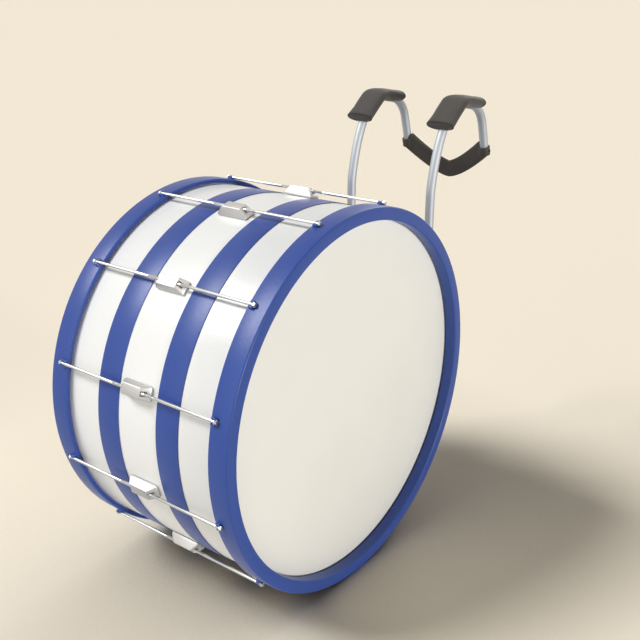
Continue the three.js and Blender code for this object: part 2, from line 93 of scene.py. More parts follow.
def add(tree, kind, links=None, **settings):
    """Adds a node with its settings. Each link is a value, another node's output, or a node
    for its first output."""
    made = tree.nodes.new(kind)
    for key, value in settings.items():
        setattr(made, key, value)
    for key, value in (links or {}).items():
        if isinstance(value, bpy.types.Node):
            value = value.outputs[0]
        if isinstance(value, bpy.types.NodeSocket):
            tree.links.new(value, made.inputs[key])
        else:
            made.inputs[key].default_value = value
    return made


def new_material(name):
    """A material with an empty tree, to be filled by the section that needs it."""
    made = bpy.data.materials.new(name)
    made.use_nodes = True
    made.node_tree.nodes.clear()
    return made, made.node_tree


hoop_radius = 0.340
floor_height = centre.z - hoop_radius
floor_reach = 1000
floor_shift = 300
paper_cream = 0xF2E8D5
paper_bounce = 0xF2ECE0
floor_gain = 1.185
# Reach and strength of the painted shadow on the paper close to the drum.
painted_shade_reach = 0.6
painted_shade_power = 0.75
room_light = 0.04
paper, tree = new_material("matt_paper")
path = add(tree, "ShaderNodeLightPath")
# Close to the drum the paper's colour, as the camera sees it, is multiplied by an ambient occlusion factor:
# a painted shadow under and beside the drum, which also holds back the drum's bounced glow on the paper, as
# the photograph has it.
painted_shade_ao = add(tree, "ShaderNodeAmbientOcclusion", {"Distance": painted_shade_reach}, samples=8)
painted_shade = add(tree, "ShaderNodeMath", {0: painted_shade_ao.outputs["AO"], 1: painted_shade_power}, operation="POWER")
gained = [c * floor_gain for c in linear(paper_cream)[:3]]
paper_with_painted_shade = add(tree, "ShaderNodeVectorMath", {0: gained, "Scale": painted_shade}, operation="SCALE")
seen = add(tree, "ShaderNodeBsdfDiffuse", {"Color": paper_with_painted_shade})
bounced = add(tree, "ShaderNodeBsdfDiffuse", {"Color": linear(paper_bounce)})
either = add(tree, "ShaderNodeMixShader", {0: path.outputs["Is Camera Ray"], 1: bounced, 2: seen})
add(tree, "ShaderNodeOutputMaterial", {"Surface": either})
floor_place = centre.x + floor_shift, centre.y, floor_height
bpy.ops.mesh.primitive_plane_add(size=floor_reach, location=floor_place)
floor = bpy.context.object
floor.name = "floor"
floor.data.materials.append(paper)

world = bpy.data.worlds.new("room")
world.use_nodes = True
scene.world = world
tree = world.node_tree
tree.nodes.clear()
path = add(tree, "ShaderNodeLightPath")
mirrored = add(tree, "ShaderNodeMath", {
    0: path.outputs["Is Glossy Ray"], 1: path.outputs["Is Transmission Ray"]}, operation="MAXIMUM")
shown = add(tree, "ShaderNodeMath", {0: path.outputs["Is Camera Ray"], 1: mirrored}, operation="MAXIMUM")
dim = add(tree, "ShaderNodeBackground", {"Color": linear(0xFFFCF6), "Strength": room_light})
cream = add(tree, "ShaderNodeBackground", {"Color": linear(paper_cream), "Strength": 1})
both = add(tree, "ShaderNodeMixShader", {0: shown, 1: dim, 2: cream})
add(tree, "ShaderNodeOutputWorld", {"Surface": both})


def lamp(name, compass, height, brightness, softness, colour=0xFFFFFF):
    """A distant lamp, by its compass angle, its height and how wide it looks, in degrees.
    A white card that faces it gets its brightness, where 1 is white."""
    data = bpy.data.lights.new(name, "SUN")
    data.energy = brightness * math.pi
    data.color = linear(colour)[:3]
    data.angle = math.radians(softness)
    made = bpy.data.objects.new(name, data)
    turn, rise = math.radians(compass), math.radians(height)
    ray = Vector((math.cos(turn) * math.cos(rise), math.sin(turn) * math.cos(rise), math.sin(rise)))
    made.rotation_euler = ray.to_track_quat("Z", "Y").to_euler()
    scene.collection.objects.link(made)


lamp("key", 222, 47, 0.86, 24)
lamp("fill", -6, 3, 0.67, 8, 0xFFF9F2)
lamp("side", 255, 5, 0.20, 50)
lamp("back", 100, 22, 0.30, 40)


# Shell: a maple plywood tube with its bearing edges cut at 45 degrees, and a glossy white
# plastic covering glued round it. Every turned piece of the drum is drawn as half a
# section, in radius and place along the axis, and one tree turns it.
def new_tree(name, **inputs):
    """An empty geometry tree with named inputs, and the outputs of its input node."""
    made = bpy.data.node_groups.new(name, "GeometryNodeTree")
    made.interface.new_socket("Geometry", in_out="OUTPUT", socket_type="NodeSocketGeometry")
    made.interface.new_socket("Geometry", in_out="INPUT", socket_type="NodeSocketGeometry")
    for label, kind in inputs.items():
        made.interface.new_socket(label, in_out="INPUT", socket_type="NodeSocket" + kind)
    return made, add(made, "NodeGroupInput").outputs


def coated(tree, geometry, material):
    """Ends a tree: its instances are made real and get their material."""
    real = add(tree, "GeometryNodeRealizeInstances", {0: geometry})
    named = add(tree, "GeometryNodeSetMaterial", {"Geometry": real, "Material": material})
    add(tree, "NodeGroupOutput", {0: named})


def plain_mesh(piece):
    """The evaluated mesh of a piece takes the place of its modifiers."""
    graph = bpy.context.evaluated_depsgraph_get()
    mesh = bpy.data.meshes.new_from_object(piece.evaluated_get(graph))
    piece.modifiers.clear()
    piece.data = mesh
    return piece


def modified(piece, kind, **settings):
    """Runs one modifier on a piece and keeps the result as a plain mesh."""
    modifier = piece.modifiers.new(kind, kind)
    for key, value in settings.items():
        setattr(modifier, key, value)
    return plain_mesh(piece)


sharp_angle = math.radians(33)
merge_distance = 1e-6


def tidied(piece):
    """Merges doubles, turns the faces outwards and smooths all but the sharp edges."""
    form = bmesh.new()
    form.from_mesh(piece.data)
    bmesh.ops.remove_doubles(form, verts=form.verts, dist=merge_distance)
    bmesh.ops.recalc_face_normals(form, faces=form.faces)
    form.to_mesh(piece.data)
    form.free()
    piece.data.shade_smooth()
    piece.data.set_sharp_from_angle(angle=sharp_angle)
    return piece


def new_piece(name, points, edges=(), faces=()):
    """An object at the origin from points, edges and faces."""
    mesh = bpy.data.meshes.new(name)
    mesh.from_pydata([tuple(p) for p in points], list(edges), list(faces))
    made = bpy.data.objects.new(name, mesh)
    scene.collection.objects.link(made)
    return made


def grown(piece, tree, **values):
    """Runs a geometry tree on a piece and keeps the result as a plain mesh."""
    modifier = piece.modifiers.new("nodes", "NODES")
    modifier.node_group = tree
    for item in tree.interface.items_tree:
        if item.name in values:
            modifier[item.identifier] = values[item.name]
    return plain_mesh(piece)


def new_line(name, points, closed):
    """A line of points at the origin, open or closed."""
    last = len(points) - 1
    edges = [(i, i + 1) for i in range(last)] + ([(last, 0)] if closed else [])
    return new_piece(name, points, edges)


def outline(name, points, closed):
    """A line of corners. Each is two places in its plane and the radius of its rounding."""
    made = new_line(name, [(p[0], p[1], 0) for p in points], closed)
    attribute = made.data.attributes.new("rounding", "FLOAT", "POINT")
    attribute.data.foreach_set("value", [p[2] if len(p) > 2 else 0 for p in points])
    return made


def rounded_outline(tree, geometry, steps):
    """In a tree: the outline as a curve, with each corner rounded by its own radius."""
    curve = add(tree, "GeometryNodeMeshToCurve", {0: geometry})
    rounding = add(tree, "GeometryNodeInputNamedAttribute", {"Name": "rounding"}, data_type="FLOAT")
    return add(tree, "GeometryNodeFilletCurve", {
        "Curve": curve, "Radius": rounding, "Count": steps, "Limit Radius": True}, mode="POLY")


turning, put = new_tree("turned_about_x", segments="Int", steps="Int", material="Material")
section = rounded_outline(turning, put["Geometry"], put["steps"])
shifted = add(turning, "GeometryNodeTransform", {"Geometry": section, "Translation": (-1, 0, 0)})
circle = add(turning, "GeometryNodeCurvePrimitiveCircle", {"Resolution": put["segments"], "Radius": 1})
skin = add(turning, "GeometryNodeCurveToMesh", {"Curve": circle, "Profile Curve": shifted})
laid = add(turning, "GeometryNodeTransform", {"Geometry": skin, "Rotation": (0, -math.pi / 2, 0)})
coated(turning, laid, put["material"])


def flat_ring(inner, outer, low, high, edge=0, inner_edge=0):
    """Half the section of a plain ring. With no inner radius it is a bar's, an open line."""
    return [(inner, low, inner_edge), (outer, low, edge), (outer, high, edge), (inner, high, inner_edge)]


def turned(name, points, place, material, closed=True, segments=192, steps=3):
    """A piece turned about X from half its section, then put in its place."""
    made = grown(outline(name, points, closed), turning, segments=segments, steps=steps, material=material)
    made.data.transform(place)
    return tidied(made)


def finish(name, colour, metallic, roughness):
    """A material with its principled shader and the coordinates that its pattern follows."""
    made, tree = new_material(name)
    shader = add(tree, "ShaderNodeBsdfPrincipled", {
        "Base Color": linear(colour), "Metallic": metallic, "Roughness": roughness})
    add(tree, "ShaderNodeOutputMaterial", {"Surface": shader})
    return made, tree, shader, add(tree, "ShaderNodeTexCoord").outputs["Object"]


def varied(tree, shader, field, colours, roughnesses):
    """Lets a field from 0 to 1 move the colour and the roughness a little."""
    dark, pale = linear(colours[0]), linear(colours[1])
    mix = add(tree, "ShaderNodeMix", {0: field, 6: dark, 7: pale}, data_type="RGBA")
    tree.links.new(mix.outputs[2], shader.inputs["Base Color"])
    low, high = roughnesses
    rough = add(tree, "ShaderNodeMapRange", {"Value": field, "To Min": low, "To Max": high})
    tree.links.new(rough.outputs[0], shader.inputs["Roughness"])


def bumped(tree, shader, height, depth, strength=1):
    """Presses a height field into the surface, its depth in metres."""
    bump = add(tree, "ShaderNodeBump", {"Height": height, "Distance": depth, "Strength": strength})
    tree.links.new(bump.outputs[0], shader.inputs["Normal"])


def mottled(name, colour, metallic, roughness, colours, roughnesses, noise, relief=None, depth=0,
            grain=None, shine=None):
    """A material whose colour and roughness follow a noise, and its relief the same noise or
    another. A noise is its scale and detail, and a grain draws it out along an axis."""
    made, tree, shader, where = finish(name, colour, metallic, roughness)
    if grain:
        where = add(tree, "ShaderNodeMapping", {"Vector": where, "Scale": grain})
    field = add(tree, "ShaderNodeTexNoise", {"Vector": where, "Scale": noise[0], "Detail": noise[1]})
    varied(tree, shader, field, colours, roughnesses)
    if relief:
        field = add(tree, "ShaderNodeTexNoise", {"Vector": where, "Scale": relief[0], "Detail": relief[1]})
    if depth:
        bumped(tree, shader, field, depth)
    if shine:
        shader.inputs["Specular IOR Level"].default_value = shine
    return made


front = Matrix.Translation(centre)
rear = front @ Matrix.Rotation(math.pi, 4, "Z")
ends = ("front", front), ("rear", rear)
shell_radius = 0.330
shell_wall = 0.008
shell_end = 0.177
bearing_inset = 0.0025
bearing_round = 0.003
covering = 0.0006
covering_edge = 0.0002
slope_round = 0.002
peak_round = 0.001

# Maple ply: pale sanded veneer, matt, its grain running round the shell.
maple = mottled("maple_ply_sanded", 0xC9A877, 0, 0.6, (0xB8935F, 0xDABD8F), (0.5, 0.68),
                (900, 3), depth=0.0001, grain=(1, 0.08, 0.08))

# White covering: calendered PVC sheet, glossy, with a faint orange peel from its glue, its
# dimples about 6 mm apart.
white_wrap = mottled("white_pvc_covering", 0xF5F6F5, 0, 0.28, (0xF3F4F3, 0xF7F8F7), (0.26, 0.33),
                     (160, 2), depth=0.00012, shine=0.4)

inner = shell_radius - shell_wall
outer = shell_radius - covering
peak = shell_radius - bearing_inset
slope = shell_end - (peak - inner)
ply = turned("shell_ply", [
    (outer, -shell_end + bearing_round),
    (outer, shell_end - bearing_round, slope_round),
    (peak, shell_end, peak_round),
    (inner, slope),
    (inner, -slope),
    (peak, -shell_end, peak_round),
], front, maple)
cover_end = 0.1715
covering_line = flat_ring(outer, shell_radius, -cover_end, cover_end, covering_edge)
cover = turned("shell_covering", covering_line, front, white_wrap)


def carved(piece, tool, operation="DIFFERENCE"):
    """Cuts a tool out of a piece, or joins it on, and puts the tool away."""
    modified(piece, "BOOLEAN", operation=operation, solver="EXACT", object=tool)
    bpy.data.objects.remove(tool)
    return tidied(piece)


vent_turn = front @ Matrix.Rotation(-math.pi / 6, 4, "X") @ Matrix.Rotation(math.pi / 2, 4, "Z")
vent_hole = 0.0079
drill_start = 0.3
drill_end = 0.36
vent_drill = flat_ring(0, vent_hole, drill_start, drill_end)
for part in (ply, cover):
    carved(part, turned("vent_drill", vent_drill, vent_turn, maple, closed=False, segments=48))
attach(ply, "drum")
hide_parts("shell")
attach(cover, "drum")


# Wrap bands: two strips of the same sheet in blue, laid round the covering between the
# lugs and the counterhoops, their edges softened with a scraper.
# The sheet is glossy and shows the same peel as the white one.
blue_wrap = mottled("blue_pvc_band", 0x304E9D, 0, 0.36, (0x2E4B9A, 0x3451A0), (0.33, 0.4),
                    (160, 2), depth=0.00012, shine=0.35)

band_inner = 0.3303
band_radius = 0.3313
band_near = 0.0435
band_far = 0.0925
band_edge = 0.0004
band_line = flat_ring(band_inner, band_radius, band_near, band_far, band_edge)
for side, place in ends:
    band = turned(f"band_{side}", band_line, place, blue_wrap)
    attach(band, "drum")
    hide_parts(f"wrap_band_{side}")


# Drum heads: polyester film with a sprayed white coating, laid on the bearing edge and
# turned down into the flesh hoop.
# The coating is matt, faintly clouded and feels like fine sand. Its grains are about 0.4 mm
# and are drawn three times as coarse, to show.
head_coating = mottled("sprayed_film_coating", 0xEBEDE9, 0, 0.62, (0xE8EAE6, 0xEEF0EC), (0.58, 0.68),
                       (9, 2), relief=(800, 2), depth=0.00012)

head_plane = 0.1778
film = 0.0005
collar_radius = 0.3304
film_radius = collar_radius + film
collar_end = 0.1677
collar_drop = 0.0029
collar_turn = head_plane - film - collar_drop
inner_bend = 0.002
outer_bend = 0.0025
for side, place in ends:
    head = turned(f"drumhead_{side}", [
        (0, head_plane - film),
        (peak, head_plane - film, inner_bend),
        (collar_radius, collar_turn, inner_bend),
        (collar_radius, collar_end),
        (film_radius, collar_end),
        (film_radius, collar_turn, outer_bend),
        (peak, head_plane, outer_bend),
        (0, head_plane),
    ], place, head_coating, closed=False)
    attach(head, "drum")
    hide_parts(f"head_{side}")


# Flesh hoops: rolled aluminium rings, powder coated blue, that grip the film's edge and are
# drawn down by the counterhoops. They show only as a line in the gap behind each hoop.
# Melted powder is half dull, with a fine bead of about 1.2 mm.
blue_powder = mottled("blue_powder_coat", 0x2E4A96, 0, 0.5, (0x2A458F, 0x334F9C), (0.45, 0.56),
                      (800, 2), depth=0.0001)

flesh_inner = 0.3312
flesh_outer = 0.3352
flesh_rear = 0.1655
flesh_front = 0.1747
flesh_edge = 0.0008
flesh_line = flat_ring(flesh_inner, flesh_outer, flesh_rear, flesh_front, flesh_edge, flesh_edge)
for side, place in ends:
    flesh = turned(f"fleshhoop_{side}", flesh_line, place, blue_powder)
    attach(flesh, "drum")
    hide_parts(f"flesh_hoop_{side}")


# Counterhoops: deep hoops of bent maple, shaped on a router and sprayed with blue lacquer.
# Each has twelve ears with an open slot for a rod, and a pocket before the ear for its head.
# Sprayed lacquer dries with a soft gloss and an orange peel of about 5 mm.
lacquer = mottled("sprayed_blue_lacquer", 0x304E9D, 0, 0.36, (0x2E4B9A, 0x3451A0), (0.32, 0.4),
                  (220, 2), depth=0.00015, shine=0.35)

copies, put = new_tree("copies_about_x", count="Int", first_angle="Float", material="Material")
spots = add(copies, "GeometryNodePoints", {"Count": put["count"]})
index = add(copies, "GeometryNodeInputIndex")
portion = add(copies, "ShaderNodeMath", {0: index, 1: put["count"]}, operation="DIVIDE")
angle = add(copies, "ShaderNodeMath", {
    0: portion, 1: math.tau, 2: put["first_angle"]}, operation="MULTIPLY_ADD")
spin = add(copies, "ShaderNodeCombineXYZ", {"X": angle})
set_round = add(copies, "GeometryNodeInstanceOnPoints", {
    "Points": spots, "Instance": put["Geometry"], "Rotation": spin})
coated(copies, set_round, put["material"])

rod_count = 12
first_rod = math.radians(15)
rod_axis = 0.3433


def from_form(name, form, mesh=None):
    """An object from a bmesh, in a new mesh or in one that brings its material."""
    mesh = mesh or bpy.data.meshes.new(name)
    form.to_mesh(mesh)
    form.free()
    made = bpy.data.objects.new(name, mesh)
    scene.collection.objects.link(made)
    return tidied(made)


def rounded(form, edges, offset, steps=3):
    """Rounds some edges of a bmesh."""
    bmesh.ops.bevel(form, geom=edges, offset=offset, segments=steps, profile=0.5, affect="EDGES")


def block(name, low, high, edge, slopes=None):
    """A block from two corners, its edges rounded. The function slopes moves each corner first."""
    form = bmesh.new()
    corners = [(x, y, z) for x in (low[0], high[0]) for y in (low[1], high[1]) for z in (low[2], high[2])]
    verts = [form.verts.new(slopes(Vector(c)) if slopes else c) for c in corners]
    for face in ((0, 1, 3, 2), (4, 6, 7, 5), (0, 4, 5, 1), (2, 3, 7, 6), (0, 2, 6, 4), (1, 5, 7, 3)):
        form.faces.new([verts[i] for i in face])
    rounded(form, form.edges[:], edge)
    return from_form(name, form)


def around(piece, place, material):
    """Copies a piece about the drum's axis, at each rod."""
    grown(piece, copies, count=rod_count, first_angle=first_rod, material=material)
    piece.data.transform(place)
    return tidied(piece)


hoop_skirt = 0.3357
hoop_step_radius = 0.3316
hoop_inner = 0.3172
hoop_front = 0.2026
hoop_rear = 0.1646
hoop_step = 0.1750
hoop_lip = 0.1808
hoop_edge = 0.003
hoop_rear_edge = 0.001
hoop_lip_edge = 0.002
ear_rear = 0.1666
ear_front = 0.1751
ear_top = 0.3455
ear_root = 0.338
ear_half = 0.0065
ear_slope = 0.002
ear_edge = 0.0012
slot_half = 0.0032
slot_floor = 0.3403
slot_edge = 0.0012
pocket_half = 0.0049
pocket_edge = 0.001
pocket_end = 0.1809
pocket_floor = 0.3384
overrun = 0.006
for side, place in ends:
    hoop = turned(f"hoop_{side}", [
        (hoop_inner, hoop_front, hoop_edge),
        (hoop_radius, hoop_front, hoop_edge),
        (hoop_radius, hoop_rear, hoop_rear_edge),
        (hoop_skirt, hoop_rear, hoop_rear_edge),
        (hoop_skirt, hoop_step),
        (hoop_step_radius, hoop_step),
        (hoop_step_radius, hoop_lip),
        (hoop_inner, hoop_lip, hoop_lip_edge),
    ], place, lacquer, segments=240, steps=4)
    ear = block("ear", (ear_rear, ear_root, -ear_half), (ear_front, ear_top, ear_half), ear_edge,
                lambda c: c + Vector((ear_slope if c.x < ear_front and c.y > ear_root else 0, 0, 0)))
    slot = block("slot", (ear_rear - overrun, slot_floor, -slot_half),
                 (ear_front + overrun / 2, ear_top + overrun, slot_half), slot_edge)
    pocket = block("pocket", (ear_front, pocket_floor, -pocket_half),
                   (pocket_end, hoop_radius + overrun * 2, pocket_half), pocket_edge)
    carved(hoop, around(ear, place, lacquer), "UNION")
    carved(hoop, around(slot, place, lacquer))
    carved(hoop, around(pocket, place, lacquer))
    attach(hoop, "drum")
    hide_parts(f"counterhoop_{side}")


# Lugs: zinc castings with sloping ends, chromed to a satin finish and screwed to the shell
# from inside. A notch in each end shows the rod as it comes out of the bore.
# Satin plate is bright but shows no clear mirror. The casting's own skin shows through it as
# pits of about 1.5 mm.
satin_chrome = mottled("satin_chrome_casting", 0xC0C2C5, 1, 0.5, (0xBABCC0, 0xC6C7C9), (0.46, 0.56),
                       (45, 3), relief=(650, 2), depth=0.00008)


def stepped(name, levels, edge):
    """A solid from rectangles stacked outwards, each its height, half length and half width."""
    form = bmesh.new()
    corners = (-1, -1), (-1, 1), (1, 1), (1, -1)
    rings = [[form.verts.new((x * along, height, z * across)) for x, z in corners]
             for height, along, across in levels]
    form.faces.new(rings[0])
    form.faces.new(rings[-1])
    for low, high in zip(rings, rings[1:]):
        for i in range(4):
            form.faces.new((low[i], low[i - 1], high[i - 1], high[i]))
    rounded(form, form.edges[:], edge)
    return from_form(name, form)


lug_half = 0.031
lug_face_half = 0.020
lug_half_width = 0.012
lug_face_half_width = 0.0095
lug_base = 0.3303
lug_toe = 0.3343
lug_top = 0.34805
lug_bore = 0.0033
lug_edge = 0.0012
notch_half = 0.0045
notch_floor = 0.3387
notch_edge = 0.001
lugs = stepped("lugs", [
    (lug_base, lug_half, lug_half_width),
    (lug_toe, lug_half, lug_half_width),
    (lug_top, lug_face_half, lug_face_half_width),
], lug_edge)
bore = flat_ring(0, lug_bore, -lug_half - overrun, lug_half + overrun)
on_rod_axis = Matrix.Translation((0, rod_axis, 0))
carved(lugs, turned("bore", bore, on_rod_axis, satin_chrome, closed=False, segments=32))
for end in (-1, 1):
    near, far = sorted((end * lug_face_half, end * (lug_half + overrun)))
    notch = (near, notch_floor, -notch_half), (far, lug_top + overrun, notch_half)
    carved(lugs, block("notch", *notch, notch_edge))
around(lugs, Matrix.Translation(centre), satin_chrome)
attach(lugs, "drum")
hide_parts(*[f"lug_{i + 1:02d}" for i in range(rod_count)])


# Tension rods: nickel-plated steel, twelve to each hoop, with a rolled thread that goes into
# the lug, and a forged washer face and hexagon head that pull on the hoop's ear.
# Nickel gives a warm, half clear mirror. The die that drew the wire left fine lines along it.
nickel = mottled("nickel_plated_steel", 0xC9CDD0, 1, 0.3, (0xC0C4C8, 0xD2D5D8), (0.25, 0.36),
                 (2200, 2), grain=(0.04, 1, 1))

rod_radius = 0.00275
rod_inner_end = 0.003
tip_length = 0.001
tip_share = 0.7
rod_shoulder = 0.1754
washer_radius = 0.0044
washer_end = 0.1764
washer_edge = 0.0002
washer_face_edge = 0.0003
hexagon_radius = 0.004
hexagon_end = 0.1804
hexagon_chamfer = 0.0006
hexagon_face = 0.84
thread_pitch = 0.001
thread_depth = 0.0006
thread_start = 0.026
thread_end = 0.047
thread_rings = 4

# The thread: each point between its two ends moves in by how far it is from the crest.
threading, put = new_tree("rolled_thread", radius="Float", pitch="Float", depth="Float", start="Float",
                          end="Float", material="Material")
position = add(threading, "GeometryNodeInputPosition")
axes = add(threading, "ShaderNodeSeparateXYZ", {0: position})
bearing = add(threading, "ShaderNodeMath", {0: axes.outputs["Z"], 1: axes.outputs["Y"]}, operation="ARCTAN2")
turns = add(threading, "ShaderNodeMath", {0: bearing, 1: math.tau}, operation="DIVIDE")
along = add(threading, "ShaderNodeMath", {0: axes.outputs["X"], 1: put["pitch"]}, operation="DIVIDE")
phase = add(threading, "ShaderNodeMath", {0: along, 1: turns}, operation="ADD")
wave = add(threading, "ShaderNodeMath", {0: phase, 1: 0.5}, operation="PINGPONG")
share = add(threading, "ShaderNodeMath", {0: put["depth"], 1: put["radius"]}, operation="DIVIDE")
fades = []
for edge, outward in (("start", 1), ("end", -1)):
    past = add(threading, "ShaderNodeMath", {0: axes.outputs["X"], 1: put[edge]}, operation="SUBTRACT")
    in_turns = add(threading, "ShaderNodeMath", {0: past, 1: put["pitch"]}, operation="DIVIDE")
    fade = add(threading, "ShaderNodeMath", {0: in_turns, 1: outward}, operation="MULTIPLY", use_clamp=True)
    fades.append(fade)
reach = add(threading, "ShaderNodeMath", {0: fades[0], 1: fades[1]}, operation="MULTIPLY")
cut = add(threading, "ShaderNodeMath", {0: wave, 1: reach}, operation="MULTIPLY")
lost = add(threading, "ShaderNodeMath", {0: cut, 1: share}, operation="MULTIPLY")
kept = add(threading, "ShaderNodeMath", {0: 1, 1: lost}, operation="SUBTRACT")
squeeze = add(threading, "ShaderNodeCombineXYZ", {"X": 1, "Y": kept, "Z": kept})
moved = add(threading, "ShaderNodeVectorMath", {0: position, 1: squeeze}, operation="MULTIPLY")
threaded = add(threading, "GeometryNodeSetPosition", {"Geometry": put["Geometry"], "Position": moved})
coated(threading, threaded, put["material"])


def together(name, parts):
    """One piece from several that are fixed to each other for good."""
    form = bmesh.new()
    mesh = parts[0].data.copy()
    mesh.name = name
    for part in parts:
        form.from_mesh(part.data)
        bpy.data.objects.remove(part)
    return from_form(name, form, mesh)


def placed(part, name, place):
    """A copy of a part that was made at the origin, put in its place."""
    made = part.copy()
    made.data = part.data.copy()
    made.name = name
    made.data.transform(place)
    scene.collection.objects.link(made)
    return made


ring_step = thread_pitch / thread_rings
ring_count = round((thread_end - thread_start) / ring_step)
in_place = Matrix.Identity(4)
shank = turned("shank", [
    (0, rod_inner_end),
    (rod_radius * tip_share, rod_inner_end),
    (rod_radius, rod_inner_end + tip_length),
    *[(rod_radius, thread_start + i * ring_step) for i in range(ring_count + 1)],
    (rod_radius, rod_shoulder),
    (washer_radius, rod_shoulder, washer_edge),
    (washer_radius, washer_end, washer_face_edge),
    (0, washer_end),
], in_place, nickel, closed=False, segments=20)
grown(shank, threading, radius=rod_radius, pitch=thread_pitch, depth=thread_depth * 2,
      start=thread_start, end=thread_end, material=nickel)
hexagon = turned("hexagon", [
    (0, washer_end - washer_edge),
    (hexagon_radius, washer_end - washer_edge),
    (hexagon_radius, hexagon_end - hexagon_chamfer),
    (hexagon_radius * hexagon_face, hexagon_end),
    (0, hexagon_end),
], in_place, nickel, closed=False, segments=6)
rod = together("tension_rod", [shank, hexagon])
for side, place in ends:
    for i in range(rod_count):
        # The rear end is the front one turned about Z, so its angles run the other way.
        angle = first_rod + i * math.tau / rod_count
        angle = angle if side == "front" else math.pi - angle
        spot = place @ Matrix.Rotation(angle, 4, "X") @ on_rod_axis
        made = placed(rod, f"rod_{side}_{i + 1:02d}", spot)
        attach(made, f"tension_rod_{side}_{i + 1:02d}")
        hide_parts(f"tension_rod_{side}_{i + 1:02d}")
bpy.data.objects.remove(rod)


# Vent: a pressed and chromed brass eyelet, low on the player's side, that lets air out of
# the shell. Its rolled lip lies on the covering.
# Bright plate mirrors the room, with a slight haze in patches of about 8 mm.
bright_chrome = mottled("bright_chrome_plate", 0xD9DBDD, 1, 0.14, (0xD3D5D8, 0xDFE1E2), (0.1, 0.2), (120, 3))
vent_bore = 0.006
vent_tube = 0.0076
vent_lip = 0.012
vent_inner = 0.319
vent_seat = 0.3303
vent_outer = 0.3319
vent_edge = 0.0004
lip_round = 0.0007
throat_round = 0.0015
vent = turned("vent_eyelet", [
    (vent_bore, vent_inner, vent_edge),
    (vent_tube, vent_inner, vent_edge),
    (vent_tube, vent_seat),
    (vent_lip, vent_seat, vent_edge),
    (vent_lip - vent_edge * 2, vent_outer, lip_round),
    (vent_bore, vent_outer, throat_round),
], vent_turn, bright_chrome, segments=64, steps=5)
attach(vent, "drum")
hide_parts("vent_grommet")


# Carrier bracket: a plate of 4 mm aluminium folded to a hat section, brushed along its
# length. Its feet are rolled to the shell's curve and bolted to it between two rows of lugs.
# Brushing leaves fine strokes, about 0.6 mm apart, that draw each highlight out.
brushed = mottled("brushed_aluminium_plate", 0xB2B5B8, 1, 0.36, (0xA6A9AC, 0xBEC1C4), (0.28, 0.44),
                  (1600, 3), depth=0.00005, grain=(0.02, 1, 1))

drawing, put = new_tree("drawn_along_z", length="Float", steps="Int", material="Material")
section = rounded_outline(drawing, put["Geometry"], put["steps"])
half = add(drawing, "ShaderNodeMath", {0: put["length"], 1: 0.5}, operation="MULTIPLY")
back = add(drawing, "ShaderNodeMath", {0: half, 1: -1}, operation="MULTIPLY")
low_end = add(drawing, "ShaderNodeCombineXYZ", {"Z": back})
high_end = add(drawing, "ShaderNodeCombineXYZ", {"Z": half})
line = add(drawing, "GeometryNodeCurvePrimitiveLine", {"Start": low_end, "End": high_end})
skin = add(drawing, "GeometryNodeCurveToMesh", {"Curve": line, "Profile Curve": section, "Fill Caps": True})
coated(drawing, skin, put["material"])


def drawn(name, points, length, place, material, edge, steps=4, end_angle=1.2):
    """A bar of one section, its end edges rounded, then put in its place."""
    made = tidied(grown(outline(name, points, True), drawing, length=length, steps=steps, material=material))
    form = bmesh.new()
    form.from_mesh(made.data)
    rim = []
    for line in form.edges:
        level = abs(line.verts[0].co.z - line.verts[1].co.z) < merge_distance
        if level and line.calc_face_angle(0) > end_angle:
            rim.append(line)
    rounded(form, rim, edge, 2)
    form.to_mesh(made.data)
    form.free()
    made.data.transform(place)
    return tidied(made)


def arc(radius, start, end, steps):
    """Points of an arc, from one angle to another in degrees."""
    turns = [math.radians(start + (end - start) * i / steps) for i in range(steps + 1)]
    return [(radius * math.cos(t), radius * math.sin(t)) for t in turns]


bracket_face = 0.351
bracket_wall = 0.004
bracket_half = 0.050
bracket_length = 0.250
foot_under = 0.3316
foot_over = 0.3351
foot_tip = 11.478
foot_bend = 0.006
bracket_edge = 0.0006
root_over = math.degrees(math.asin(bracket_half / foot_over))
root_under = math.degrees(math.asin((bracket_half - bracket_wall) / foot_under))
upper = [
    (bracket_face, bracket_half, foot_bend),
    *arc(foot_over, root_over, foot_tip, 5),
    *arc(foot_under, foot_tip, root_under, 5),
    (bracket_face - bracket_wall, bracket_half - bracket_wall, foot_bend - bracket_wall),
]
lower = [(out, -up, *rounding) for out, up, *rounding in reversed(upper)]
# Drawn along Z with its face towards X, so X goes to Y, Y to Z and Z to X.
to_side = Matrix.Translation(centre) @ Matrix(((0, 0, 1, 0), (1, 0, 0, 0), (0, 1, 0, 0), (0, 0, 0, 1)))
bracket = drawn("carrier_bracket_plate", upper + lower, bracket_length, to_side, brushed, bracket_edge)
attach(bracket, "drum")
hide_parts("carrier_bracket")


# Bracket bolts: zinc-plated button heads with a hexagon socket and a washer, three along
# each foot, into nuts inside the shell.
# Bright zinc is a bluish, uneven mirror, cloudy in patches of about 3 mm.
zinc = mottled("bright_zinc_plate", 0xC3C6CA, 1, 0.3, (0xB4B8BE, 0xCFD1D2), (0.22, 0.4), (380, 2))

setting, put = new_tree("set_at_points", part="Object", material="Material")
part = add(setting, "GeometryNodeObjectInfo", {"Object": put["part"]}, transform_space="ORIGINAL")
turn = add(setting, "GeometryNodeInputNamedAttribute", {"Name": "turn"}, data_type="FLOAT")
spin = add(setting, "ShaderNodeCombineXYZ", {"X": turn.outputs["Attribute"]})
set_out = add(setting, "GeometryNodeInstanceOnPoints", {
    "Points": put["Geometry"], "Instance": part.outputs["Geometry"], "Rotation": spin})
coated(setting, set_out, put["material"])


def set_at(name, part, spots, material, body):
    """Copies of a part that points along Y, each at a place and turned about X, in degrees."""
    made = new_piece(name, [centre + Vector(spot[:3]) for spot in spots])
    turns = made.data.attributes.new("turn", "FLOAT", "POINT")
    turns.data.foreach_set("value", [math.radians(spot[3]) for spot in spots])
    tidied(grown(made, setting, part=part, material=material))
    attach(made, body)


washer_thickness = 0.0012
washer_round = 0.0003
bolt_rim = 0.0004
key_floor = 0.4


